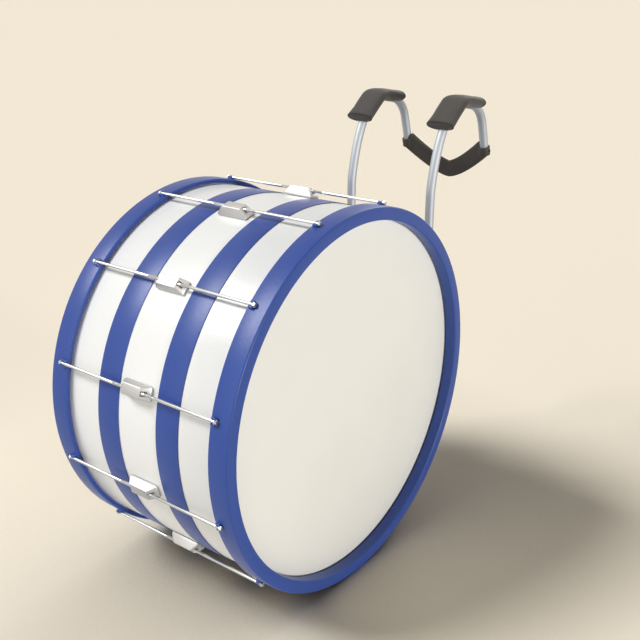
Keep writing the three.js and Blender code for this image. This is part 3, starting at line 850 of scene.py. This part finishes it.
def bolt(name, radius, height, socket, material, washer=0):
    """A button-head bolt that points along Y from the face it sits on, with its washer."""
    upright = Matrix.Rotation(math.pi / 2, 4, "Z")
    base = washer_thickness if washer else 0
    rise = [(radius * math.cos(t), base + bolt_rim + (height - bolt_rim) * math.sin(t))
            for t in (math.radians(a) for a in range(0, 76, 15))]
    head = turned(name, [(0, base), (radius, base), *rise, (0, base + height)], upright, material, False, 32)
    key = flat_ring(0, socket, base + height * key_floor, base + height * 2)
    carved(head, turned("key", key, upright, material, False, 6))
    if not washer:
        return head
    disc = flat_ring(radius / 2, washer, 0, base, washer_round)
    return together(name, [head, turned("disc", disc, upright, material, True, 32)])


foot_bolt = bolt("foot_bolt", radius=0.0052, height=0.0032, socket=0.0021, material=zinc, washer=0.0068)
bolt_spacing = 0.112
bolt_inset = 0.97
bolt_spots = []
for x in (-bolt_spacing, 0, bolt_spacing):
    for side in (-1, 1):
        turn = math.radians(side * (foot_tip + root_over) / 2 * bolt_inset)
        spot = foot_over * math.cos(turn), foot_over * math.sin(turn)
        bolt_spots.append((x, *spot, math.degrees(turn)))
set_at("bracket_bolts", foot_bolt, bolt_spots, zinc, "drum")
bpy.data.objects.remove(foot_bolt)


# Tube clamps: split blocks cast in aluminium, blasted with fine beads and screwed to the
# bracket's face. Each grips its tube when the wing screw pulls its two ears together.
# Blasting leaves a dull, even grain of about 0.7 mm over the casting's faint flow marks.
blasted = mottled("bead_blasted_cast_aluminium", 0x9FA2A5, 1, 0.5, (0x96999C, 0xA9ACAE), (0.44, 0.58),
                  (60, 3), relief=(1400, 2), depth=0.00006)

tube_x = 0.0966
tube_y = 0.3757
tube_radius = 0.009
tube_places = ("left", -tube_x), ("right", tube_x)


def from_centre(x, y=0, z=0):
    """A move to a place that counts from the drum's centre."""
    return Matrix.Translation(centre + Vector((x, y, z)))


clamp_height = 0.060
clamp_foot = -0.0244
clamp_flange = -0.0164
clamp_round = 0.0153
clamp_bore = 0.0093
slit_half = 0.0013
ear_outer = 0.0105
ear_end = 0.028
flange_half = 0.023
screw_reach = 0.020
screw_hole = 0.0033
# Every corner is rounder than the end edges, or the end faces would cross themselves.
clamp_edge = 0.0012
clamp_corner = 0.0014
flange_corner = 0.0015
ear_corner = 0.0025
waist_corner = 0.003
bore_start = math.degrees(math.acos(slit_half / clamp_bore))
round_start = math.degrees(math.acos(ear_outer / clamp_round))
right_half = [
    (slit_half, ear_end, clamp_corner),
    (ear_outer, ear_end, ear_corner),
    *arc(clamp_round, round_start, 0, 8),
    (clamp_round, clamp_flange, waist_corner),
    (flange_half, clamp_flange, flange_corner),
    (flange_half, clamp_foot, clamp_corner),
]
left_half = [(-x, *rest) for x, *rest in reversed(right_half)]
clamp_line = right_half + left_half + arc(clamp_bore, 180 - bore_start, 360 + bore_start, 40)
clamp_bolt_x = 0.0193
clamp_bolt_z = 0.022
clamp_bolt = bolt("clamp_bolt", radius=0.0032, height=0.0022, socket=0.0015, material=zinc)
for side, x in tube_places:
    place = from_centre(x, tube_y)
    clamp = drawn(f"clamp_{side}", clamp_line, clamp_height, place, blasted, clamp_edge)
    hole = flat_ring(0, screw_hole, -flange_half, flange_half)
    carved(clamp, turned("hole", hole, place @ Matrix.Translation((0, screw_reach, 0)), blasted, False, 32))
    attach(clamp, "drum")
    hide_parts(f"tube_clamp_{side}")
    spots = [(x + u * clamp_bolt_x, tube_y + clamp_flange, w * clamp_bolt_z, 0)
             for u in (-1, 1) for w in (-1, 1)]
    set_at(f"clamp_bolts_{side}", clamp_bolt, spots, zinc, "drum")
bpy.data.objects.remove(clamp_bolt)


# Wing screws: a steel screw cast into a chromed zinc knob with two wings for the fingers,
# one at the outer side of each clamp.
hub_start = 0.0108
hub_radius = 0.0075
hub_end = 0.0268
hub_edge = 0.0012
hub_round = 0.003
wing_start = 0.0188
wing_half_span = 0.020
wing_depth = 0.011
wing_thickness = 0.005
wing_round = 0.004
wing_root_round = 0.01
wing_foot = 0.001
wing_taper = 0.7
wing_edge = 0.0016
screw_radius = 0.003
knob = turned("knob", [
    (0, -ear_outer),
    (screw_radius * tip_share, -ear_outer),
    (screw_radius, -ear_outer + tip_length),
    (screw_radius, hub_start),
    (hub_radius, hub_start, hub_edge),
    (hub_radius, hub_end, hub_round),
    (0, hub_end),
], in_place, satin_chrome, False, 48, 5)
wing_upper = [
    (wing_start + wing_depth / 2, 0, wing_round),
    (wing_start + wing_depth, wing_half_span - wing_depth / 2, wing_round),
    (wing_start + wing_depth * wing_taper, wing_half_span, wing_round),
    (wing_start + wing_foot, wing_half_span, wing_round),
]
wing_lower = [(out, -up, *rounding) for out, up, *rounding in reversed(wing_upper[1:])]
wing_root = wing_start - wing_thickness / 2, 0, wing_root_round
wing_line = wing_upper + [wing_root] + wing_lower
wings_up = Matrix.Rotation(math.pi / 2, 4, "X")
wings = drawn("wings", wing_line, wing_thickness, wings_up, satin_chrome, wing_edge, 5)
carved(knob, wings, "UNION")
for side, x, half_turn in (("left", -tube_x, math.pi), ("right", tube_x, 0)):
    spot = from_centre(x, tube_y + screw_reach)
    made = placed(knob, f"wing_screw_{side}_knob", spot @ Matrix.Rotation(half_turn, 4, "Z"))
    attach(made, f"wing_screw_{side}")
    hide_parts(f"wing_screw_{side}")
bpy.data.objects.remove(knob)


# Harness tubes: aluminium tube of 18 mm, bent round formers to a shank, an arch over the
# shoulder and a tail, then polished along its length and clear anodised. Each slides in its
# clamp to set the drum's height. One tree sweeps a circle along the tube's middle line.
anodised, tree, shader, where = finish("clear_anodised_aluminium", 0xAEB4BE, 1, 0.62)
# The polishing lines run along the tube, so they are read from where the skin's points lie
# round it and along it.
line_stretch = 0.012
around_it = add(tree, "ShaderNodeAttribute", attribute_name="ring")
along_it = add(tree, "ShaderNodeAttribute", attribute_name="along")
slow = add(tree, "ShaderNodeMath", {
    0: along_it.outputs["Fac"], 1: line_stretch}, operation="MULTIPLY")
shift = add(tree, "ShaderNodeCombineXYZ", {"Z": slow})
skin_place = add(tree, "ShaderNodeVectorMath", {0: around_it.outputs["Vector"], 1: shift}, operation="ADD")
lines = add(tree, "ShaderNodeTexNoise", {"Vector": skin_place, "Scale": 1300, "Detail": 2})
varied(tree, shader, lines, (0xA8AFBA, 0xB4BAC3), (0.58, 0.66))
bumped(tree, shader, lines, 0.00002)

sweeping, put = new_tree("swept_along_line", radius="Float", sides="Int", closed_ends="Bool",
                         material="Material")
route = add(sweeping, "GeometryNodeMeshToCurve", {0: put["Geometry"]})
reached = add(sweeping, "GeometryNodeSplineParameter")
measured = add(sweeping, "GeometryNodeStoreNamedAttribute", {
    "Geometry": route, "Name": "along", "Value": reached.outputs["Length"]}, data_type="FLOAT")
circle = add(sweeping, "GeometryNodeCurvePrimitiveCircle", {
    "Resolution": put["sides"], "Radius": put["radius"]})
place = add(sweeping, "GeometryNodeInputPosition")
ringed = add(sweeping, "GeometryNodeStoreNamedAttribute", {
    "Geometry": circle, "Name": "ring", "Value": place}, data_type="FLOAT_VECTOR")
skin = add(sweeping, "GeometryNodeCurveToMesh", {
    "Curve": measured, "Profile Curve": ringed, "Fill Caps": put["closed_ends"]})
coated(sweeping, skin, put["material"])


def swept(name, points, radius, sides, material, closed_ends=False, looped=False):
    """A round bar or skin along a line of points."""
    line = new_line(name, points, looped)
    return tidied(grown(line, sweeping, radius=radius, sides=sides, closed_ends=closed_ends,
                        material=material))


def smooth_line(corners, steps):
    """A line of points that runs smoothly through its corners."""
    given = [Vector(c) for c in corners]
    longer = [given[0] * 2 - given[1], *given, given[-1] * 2 - given[-2]]
    made = []
    for first in range(len(given) - 1):
        four = longer[first:first + 4]
        knots = [0]
        for a, b in zip(four, four[1:]):
            knots.append(knots[-1] + (b - a).length ** 0.5)
        for step in range(steps):
            at = knots[1] + (knots[2] - knots[1]) * step / steps
            level = four
            for spans in ((0, 1), (1, 2), (2, 3)), ((0, 2), (1, 3)), ((1, 2),):
                level = [a.lerp(b, (at - knots[low]) / (knots[high] - knots[low]))
                         for a, b, (low, high) in zip(level, level[1:], spans)]
            made.append(level[0])
    return made + [given[-1]]


tube_wall = 0.0018
tube_low = -0.110
tail_direction = Vector((0, 0.2607, -0.9654))
tail_length = 0.016
arch = [
    (0.3757, 0.255), (0.3768, 0.292), (0.3816, 0.318), (0.387, 0.340), (0.3932, 0.360),
    (0.4008, 0.380), (0.4086, 0.3965), (0.4142, 0.407), (0.4194, 0.4168), (0.4271, 0.4282),
    (0.4371, 0.4378), (0.4488, 0.4451), (0.4617, 0.4498), (0.4754, 0.4518), (0.4886, 0.4509),
    (0.507, 0.4478), (0.5249, 0.44475), (0.5363, 0.4417), (0.5485, 0.4357), (0.5601, 0.4266),
    (0.5704, 0.4131), (0.5754, 0.402), (0.5795, 0.3895), (0.5833, 0.377), (0.587, 0.364),
    (0.5903, 0.352),
]
arch_line = smooth_line([(0, y, z) for y, z in arch], 5)
shank_line = [Vector((0, tube_y, tube_low + (arch[0][1] - tube_low) * i / 12)) for i in range(12)]
tail_line = [arch_line[-1] + tail_direction * tail_length * i / 4 for i in range(1, 5)]
tube_line = shank_line + arch_line + tail_line


def beside(points, x):
    """Points of the harness's middle plane, moved to one side and to their place."""
    return [centre + Vector((x, 0, 0)) + p for p in points]


for side, x in tube_places:
    tube = swept(f"tube_{side}", beside(tube_line, x), tube_radius, 40, anodised)
    tidied(modified(tube, "SOLIDIFY", thickness=tube_wall, offset=-1))
    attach(tube, "harness")
    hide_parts(f"harness_tube_{side}")


# Tube plugs: moulded rubber, pressed into the tubes' lower ends so that they don't mark the
# shell. Their ribs grip inside the tube.
# Moulded rubber is dull, with a greyish bloom in patches of about 4 mm.
rubber = mottled("moulded_rubber", 0x2A2A2B, 0, 0.62, (0x252526, 0x313132), (0.56, 0.7), (240, 3),
                 depth=0.00008)
plug_radius = 0.010
plug_thickness = 0.005
plug_face = 0.85
plug_face_round = 0.002
plug_side = 0.4
plug_side_round = 0.001
plug_rim_round = 0.0006
plug_shoulder = -0.0003
spigot = 0.0069
spigot_neck = 0.9
spigot_tip = 0.8
spigot_round = 0.001
spigot_end = 0.018
rib_start = 0.003
rib_step = 0.004
rib_half = 0.001
ribs = [(spigot * share, rib_start + rib_step * i + rib_half * k)
        for i in range(3) for k, share in enumerate((spigot_neck, 1, spigot_neck))]
upright = Matrix.Rotation(-math.pi / 2, 4, "Y")
for side, x in tube_places:
    place = from_centre(x, tube_y, tube_low) @ upright
    plug = turned(f"plug_{side}", [
        (0, -plug_thickness),
        (plug_radius * plug_face, -plug_thickness, plug_face_round),
        (plug_radius, -plug_thickness * plug_side, plug_side_round),
        (plug_radius, plug_shoulder, plug_rim_round),
        (spigot * spigot_neck, plug_shoulder),
        *ribs,
        (spigot * spigot_tip, spigot_end, spigot_round),
        (0, spigot_end),
    ], place, rubber, False, 40)
    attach(plug, "harness")
    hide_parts(f"tube_plug_{side}")


# Shoulder pads: a firm foam slab in a sleeve of black nylon cloth, closed at each end by a
# panel that is sewn in over a piping cord. The foam is grooved underneath and snaps over
# the tube.
cordura, tree, shader, where = finish("woven_nylon_cloth", 0x423F3E, 0, 0.85)
# Real threads are 0.5 mm apart. They are drawn at 1.2 mm, to show, and follow the cover:
# the attribute holds the way round the pad and the way along it, in metres.
weave_pitch = 0.0012
fuzz_scale = 90
weave_share = 0.35
laid = add(tree, "ShaderNodeAttribute", attribute_name="weave")
counted = add(tree, "ShaderNodeVectorMath", {
    0: laid.outputs["Vector"], "Scale": 1 / weave_pitch}, operation="SCALE")
counts = add(tree, "ShaderNodeSeparateXYZ", {0: counted})
checks = add(tree, "ShaderNodeTexChecker", {
    "Vector": counted, "Scale": 1, "Color1": (1, 1, 1, 1), "Color2": (0, 0, 0, 1)})
swells = []
for direction in ("X", "Y"):
    half_turn = add(tree, "ShaderNodeMath", {0: counts.outputs[direction], 1: math.pi}, operation="MULTIPLY")
    wave = add(tree, "ShaderNodeMath", {0: half_turn}, operation="SINE")
    swells.append(add(tree, "ShaderNodeMath", {0: wave}, operation="ABSOLUTE"))
weave = add(tree, "ShaderNodeMix", {
    0: checks.outputs["Color"], 2: swells[0], 3: swells[1]}, data_type="FLOAT")
fuzz = add(tree, "ShaderNodeTexNoise", {"Vector": where, "Scale": fuzz_scale, "Detail": 4})
both = add(tree, "ShaderNodeMath", {0: weave, 1: weave_share, 2: fuzz}, operation="MULTIPLY_ADD")
varied(tree, shader, both, (0x353231, 0x494644), (0.78, 0.92))
bumped(tree, shader, weave, 0.00018, 0.8)
shader.inputs["Sheen Weight"].default_value = 0.25
shader.inputs["Sheen Roughness"].default_value = 0.5

# The cord is braided, so that ridges run across it every 1.4 mm.
braid, tree, shader, where = finish("nylon_piping_cord", 0x383534, 0, 0.7)
braid_pitch = 0.0014
run = add(tree, "ShaderNodeAttribute", attribute_name="along")
ridges = add(tree, "ShaderNodeMath", {
    0: run.outputs["Fac"], 1: math.tau / braid_pitch}, operation="MULTIPLY")
twist = add(tree, "ShaderNodeMath", {0: ridges}, operation="SINE")
raised = add(tree, "ShaderNodeMapRange", {"Value": twist, "From Min": -1})
varied(tree, shader, raised, (0x2F2D2C, 0x3F3C3A), (0.64, 0.76))
bumped(tree, shader, raised, 0.0001, 0.6)

# Polyester thread has a slight sheen, its twist about 0.4 mm long.
thread = mottled("polyester_thread", 0x5E5A57, 0, 0.6, (0x55514E, 0x67635F), (0.54, 0.66), (2500, 1))

stitching, put = new_tree("stitched_along_line", pitch="Float", length="Float", radius="Float",
                          material="Material")
seam_curve = add(stitching, "GeometryNodeMeshToCurve", {0: put["Geometry"]})
marks = add(stitching, "GeometryNodeCurveToPoints", {
    "Curve": seam_curve, "Length": put["pitch"]}, mode="LENGTH")
ball = add(stitching, "GeometryNodeMeshUVSphere", {"Segments": 6, "Rings": 4, "Radius": 1})
half = add(stitching, "ShaderNodeMath", {0: put["length"], 1: 0.5}, operation="MULTIPLY")
size = add(stitching, "ShaderNodeCombineXYZ", {"X": put["radius"], "Y": put["radius"], "Z": half})
stitch = add(stitching, "GeometryNodeTransform", {"Geometry": ball, "Scale": size})
sewn = add(stitching, "GeometryNodeInstanceOnPoints", {
    "Points": marks.outputs["Points"], "Instance": stitch, "Rotation": marks.outputs["Rotation"]})
coated(stitching, sewn, put["material"])

pad_corners = [
    (0.4025, 0.4158), (0.4208, 0.430), (0.4411, 0.4458), (0.4594, 0.4572), (0.4771, 0.457),
    (0.4997, 0.4532), (0.5277, 0.4485),
]
pad_half_width = 0.0315
pad_half_height = 0.0117
pad_squareness = 2.4
pad_shrink = 0.0008
pad_swell = 0.0016
pad_pressure = 4
pad_voxel = 0.003
pad_end_round = 0.0025
pad_end_taper = 0.1
weave_radius = 0.0235
pad_overhang = 0.003
pad_line = smooth_line([(0, y, z) for y, z in pad_corners], 8)
pad_ways = [0]
for a, b in zip(pad_line, pad_line[1:]):
    pad_ways.append(pad_ways[-1] + (b - a).length)
pad_length = pad_ways[-1] + 2 * pad_overhang


def pad_frame(way):
    """The pad's middle line at a distance along it: the point, its direction and up."""
    way -= pad_overhang
    spot = max(1, min(len(pad_ways) - 1, sum(w < way for w in pad_ways)))
    a, b = pad_line[spot - 1], pad_line[spot]
    direction = (b - a).normalized()
    if 1 < spot < len(pad_ways) - 1:
        share = (way - pad_ways[spot - 1]) / (pad_ways[spot] - pad_ways[spot - 1])
        before = (b - pad_line[spot - 2]).normalized()
        after = (pad_line[spot + 1] - a).normalized()
        direction = before.lerp(after, share).normalized()
    point = a + (b - a).normalized() * (way - pad_ways[spot - 1])
    return point, direction, Vector((1, 0, 0)).cross(direction)


def bent(across, way, rise):
    """A place in the straightened pad, in the bent one."""
    point, direction, up = pad_frame(way)
    return point + Vector((across, 0, 0)) + up * rise


def oval(point, across, up, half_width, half_height, squareness, sides):
    """A ring of points between an ellipse and a rectangle."""
    ring = []
    for i in range(sides):
        turn = math.tau * i / sides
        u, w = math.cos(turn), math.sin(turn)
        ring.append(point + across * math.copysign(abs(u) ** (2 / squareness), u) * half_width
                    + up * math.copysign(abs(w) ** (2 / squareness), w) * half_height)
    return ring


def lofted(name, rings, material):
    """A closed skin through rings of points."""
    sides = len(rings[0])
    faces = []
    for i in range(len(rings) - 1):
        for k in range(sides):
            low, high, after = i * sides, (i + 1) * sides, (k + 1) % sides
            faces.append([low + k, low + after, high + after, high + k])
    faces += [list(range(sides)), list(range((len(rings) - 1) * sides, len(rings) * sides))]
    made = new_piece(name, [p for ring in rings for p in ring], (), faces)
    made.data.materials.append(material)
    return tidied(made)


def swollen(piece, pressure, reach, frames=20):
    """Blows the cover up as cloth over its foam, no point further than it may reach."""
    resting = [v.co.copy() for v in piece.data.vertices]
    cloth = piece.modifiers.new("cloth", "CLOTH")
    cloth.settings.use_pressure = True
    cloth.settings.uniform_pressure_force = pressure
    cloth.settings.effector_weights.gravity = 0
    cloth.point_cache.frame_end = frames
    for moment in range(1, frames + 1):
        scene.frame_set(moment)
    plain_mesh(piece)
    scene.frame_set(1)
    for vertex, start in zip(piece.data.vertices, resting):
        move = vertex.co - start
        if move.length > reach:
            vertex.co = start + move * reach / move.length


stations = []
steps = 60
for i in range(steps + 1):
    way = pad_length * i / steps
    from_end = min(way, pad_length - way) / pad_end_round
    taper = 1 if from_end >= 1 else 1 - pad_end_taper * (1 - from_end) ** 2
    point, direction, up = pad_frame(way)
    stations.append(oval(point, Vector((1, 0, 0)), up, (pad_half_width - pad_shrink) * taper,
                         (pad_half_height - pad_shrink) * taper, pad_squareness, 48))
cushion = lofted("cushion", stations, cordura)
modified(cushion, "REMESH", mode="VOXEL", voxel_size=pad_voxel)
swollen(cushion, pad_pressure, pad_swell)
modified(cushion, "SUBSURF", levels=1, render_levels=1)


def ring_on(cover, way, count=72):
    """The line round the cover at a distance along the pad, found from outside."""
    tree = BVHTree.FromPolygons([v.co for v in cover.vertices], [p.vertices[:] for p in cover.polygons])
    points = []
    for i in range(count):
        turn = math.tau * i / count
        across, rise = math.cos(turn), math.sin(turn)
        outside, inside = [bent(across * pad_half_width * far, way, rise * pad_half_height * far)
                           for far in (2, 0.2)]
        points.append(tree.ray_cast(outside, (inside - outside).normalized())[0])
    for smoothing in range(2):
        points = [(points[i - 1] + points[i] * 2 + points[(i + 1) % count]) / 4 for i in range(count)]
    return points


# The end panels' seams pull the cover in beside their piping.
seam_inset = 0.0028
seam_pull = 0.0012
seam_reach = 0.006
welts = [ring_on(cushion.data, way) for way in (seam_inset, pad_length - seam_inset)]
for vertex in cushion.data.vertices:
    gap = min((vertex.co - p).length for welt in welts for p in welt)
    if gap < seam_reach:
        vertex.co -= vertex.normal * seam_pull * (1 - gap / seam_reach) ** 2
piping_radius = 0.0013
stitch_gap = 0.0048
row_ways = seam_inset + stitch_gap, pad_length - seam_inset - stitch_gap
rows = [ring_on(cushion.data, way) for way in row_ways]
groove = 0.0093
stitch_clearance = 0.003
for side, x in tube_places:
    pad = new_piece(f"pad_{side}", ())
    pad.data = cushion.data.copy()
    pad.data.transform(from_centre(x))
    carved(pad, swept("groove", beside(tube_line, x), groove, 40, cordura, closed_ends=True))
    threads = []
    for vertex in pad.data.vertices:
        place = vertex.co - centre
        flat = min(range(len(pad_line)), key=lambda i: (pad_line[i].yz - place.yz).length_squared)
        point, direction, up = pad_frame(pad_ways[flat] + pad_overhang)
        away = place - point
        way = pad_ways[flat] + away.dot(direction)
        turn = math.atan2((place.x - x) / pad_half_width, away.dot(up) / pad_half_height)
        threads.extend((turn * weave_radius, way, 0))
    pad.data.attributes.new("weave", "FLOAT_VECTOR", "POINT").data.foreach_set("vector", threads)
    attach(pad, "harness")
    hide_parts(f"shoulder_pad_{side}")
    pipings = [swept("piping", beside(welt, x), piping_radius, 10, braid, looped=True) for welt in welts]
    piping = together(f"pad_piping_{side}", pipings)
    carved(piping, swept("groove", beside(tube_line, x), groove, 40, braid, closed_ends=True))
    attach(piping, "harness")
    spots, joins = [], []
    for row in rows:
        kept = [min((p - q).length for q in tube_line) > groove + stitch_clearance for p in row]
        joins += [(len(spots) + i, len(spots) + (i + 1) % len(row))
                  for i in range(len(row)) if kept[i] and kept[(i + 1) % len(row)]]
        spots += beside(row, x)
    stitches = new_piece(f"pad_stitches_{side}", spots, joins)
    tidied(grown(stitches, stitching, pitch=0.0046, length=0.0034, radius=0.0004, material=thread))
    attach(stitches, "harness")
bpy.data.objects.remove(cushion)


# Back yoke: moulded in glass-filled nylon. It hangs between the tails, bows away from the
# player's back, and has a socket at each end where a tail is held by a screw.
# The mould was spark eroded, which leaves a dull grain of about 0.9 mm over faint flow marks.
nylon = mottled("glass_filled_nylon", 0x322F2D, 0, 0.6, (0x2F2C2A, 0x383431), (0.54, 0.66),
                (45, 3), relief=(1100, 2), depth=0.0001)
# Its two screws are steel with a black oxide skin, oiled and faintly uneven.
black_oxide = mottled("black_oxide_steel", 0x2C2C2D, 1, 0.42, (0x272728, 0x343434), (0.36, 0.5), (900, 2))

yoke_height = 0.036
yoke_end_thickness = 0.016
yoke_middle_thickness = 0.012
yoke_drop = 0.060
yoke_bow = 0.0237
yoke_power = 1.4
yoke_lean = 0.13
yoke_squareness = 4.5
insertion = 0.012
entry = tail_line[-1] - tail_direction * insertion
rings = []
for i in range(61):
    share = i / 30 - 1
    sag = 1 - abs(share) ** yoke_power
    slope = math.copysign(yoke_power * abs(share) ** (yoke_power - 1), share)
    point = centre + Vector((share * tube_x, entry.y + yoke_bow * sag, entry.z - yoke_drop * sag))
    along = Vector((tube_x, -slope * yoke_bow, slope * yoke_drop)).normalized()
    up = Matrix.Rotation(yoke_lean, 3, along) @ Vector((-along.z, 0, along.x)).normalized()
    out = up.cross(along)
    thickness = yoke_middle_thickness + (yoke_end_thickness - yoke_middle_thickness) * share * share
    rings.append(oval(point, out, up, thickness / 2, yoke_height / 2, yoke_squareness, 56))


def rounded_end(ring, neighbour, radius):
    """Rings that round off the end at a ring, the outermost and smallest last."""
    way = (ring[0] - neighbour[0]).normalized()
    middle = sum(ring, Vector()) / len(ring)
    made = []
    for turn in (math.radians(a) for a in (30, 60, 90)):
        beyond = way * radius * (math.sin(turn) - 1)
        inset = radius * (1 - math.cos(turn))
        made.append([p + beyond + (middle - p).normalized() * inset for p in ring])
    return made


end_round = 0.0015
start_rings = rounded_end(rings[0], rings[1], end_round)
end_rings = rounded_end(rings[-1], rings[-2], end_round)
yoke = lofted("yoke", start_rings[::-1] + rings[2:-2] + end_rings, nylon)
socket_above = 0.003
socket_floor = 0.004
socket_edge = 0.0012
boss = 0.0123
bore_reach = 0.03
seat_gap = 0.0003
socket_turn = tail_direction.to_track_quat("X", "Z").to_matrix().to_4x4()
sockets = [(x, Matrix.Translation(centre + Vector((x, 0, 0)) + entry) @ socket_turn)
           for side, x in tube_places]
socket = flat_ring(0, boss, -socket_above, insertion + socket_floor, socket_edge)
bore = flat_ring(0, groove, -bore_reach, insertion + seat_gap)
for x, place in sockets:
    carved(yoke, turned("socket", socket, place, nylon, False, 64), "UNION")
for x, place in sockets:
    carved(yoke, turned("bore", bore, place, nylon, False, 48))
    carved(yoke, swept("tail_room", beside(tube_line[-40:-1], x), groove, 48, nylon, closed_ends=True))
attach(yoke, "harness")
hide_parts("back_yoke")
screw_sink = 0.0004
for side, x_sign in (("left", -1), ("right", 1)):
    screw = bolt(f"yoke_screw_{side}", radius=0.0036, height=0.0022, socket=0.0016, material=black_oxide)
    out = Vector((x_sign * (tube_x + boss - screw_sink), 0, 0))
    at = centre + entry + tail_direction * insertion / 2 + out
    screw.data.transform(Matrix.Translation(at) @ Matrix.Rotation(-x_sign * math.pi / 2, 4, "Z"))
    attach(screw, "harness")


size = [list(v) for v in cad_box]
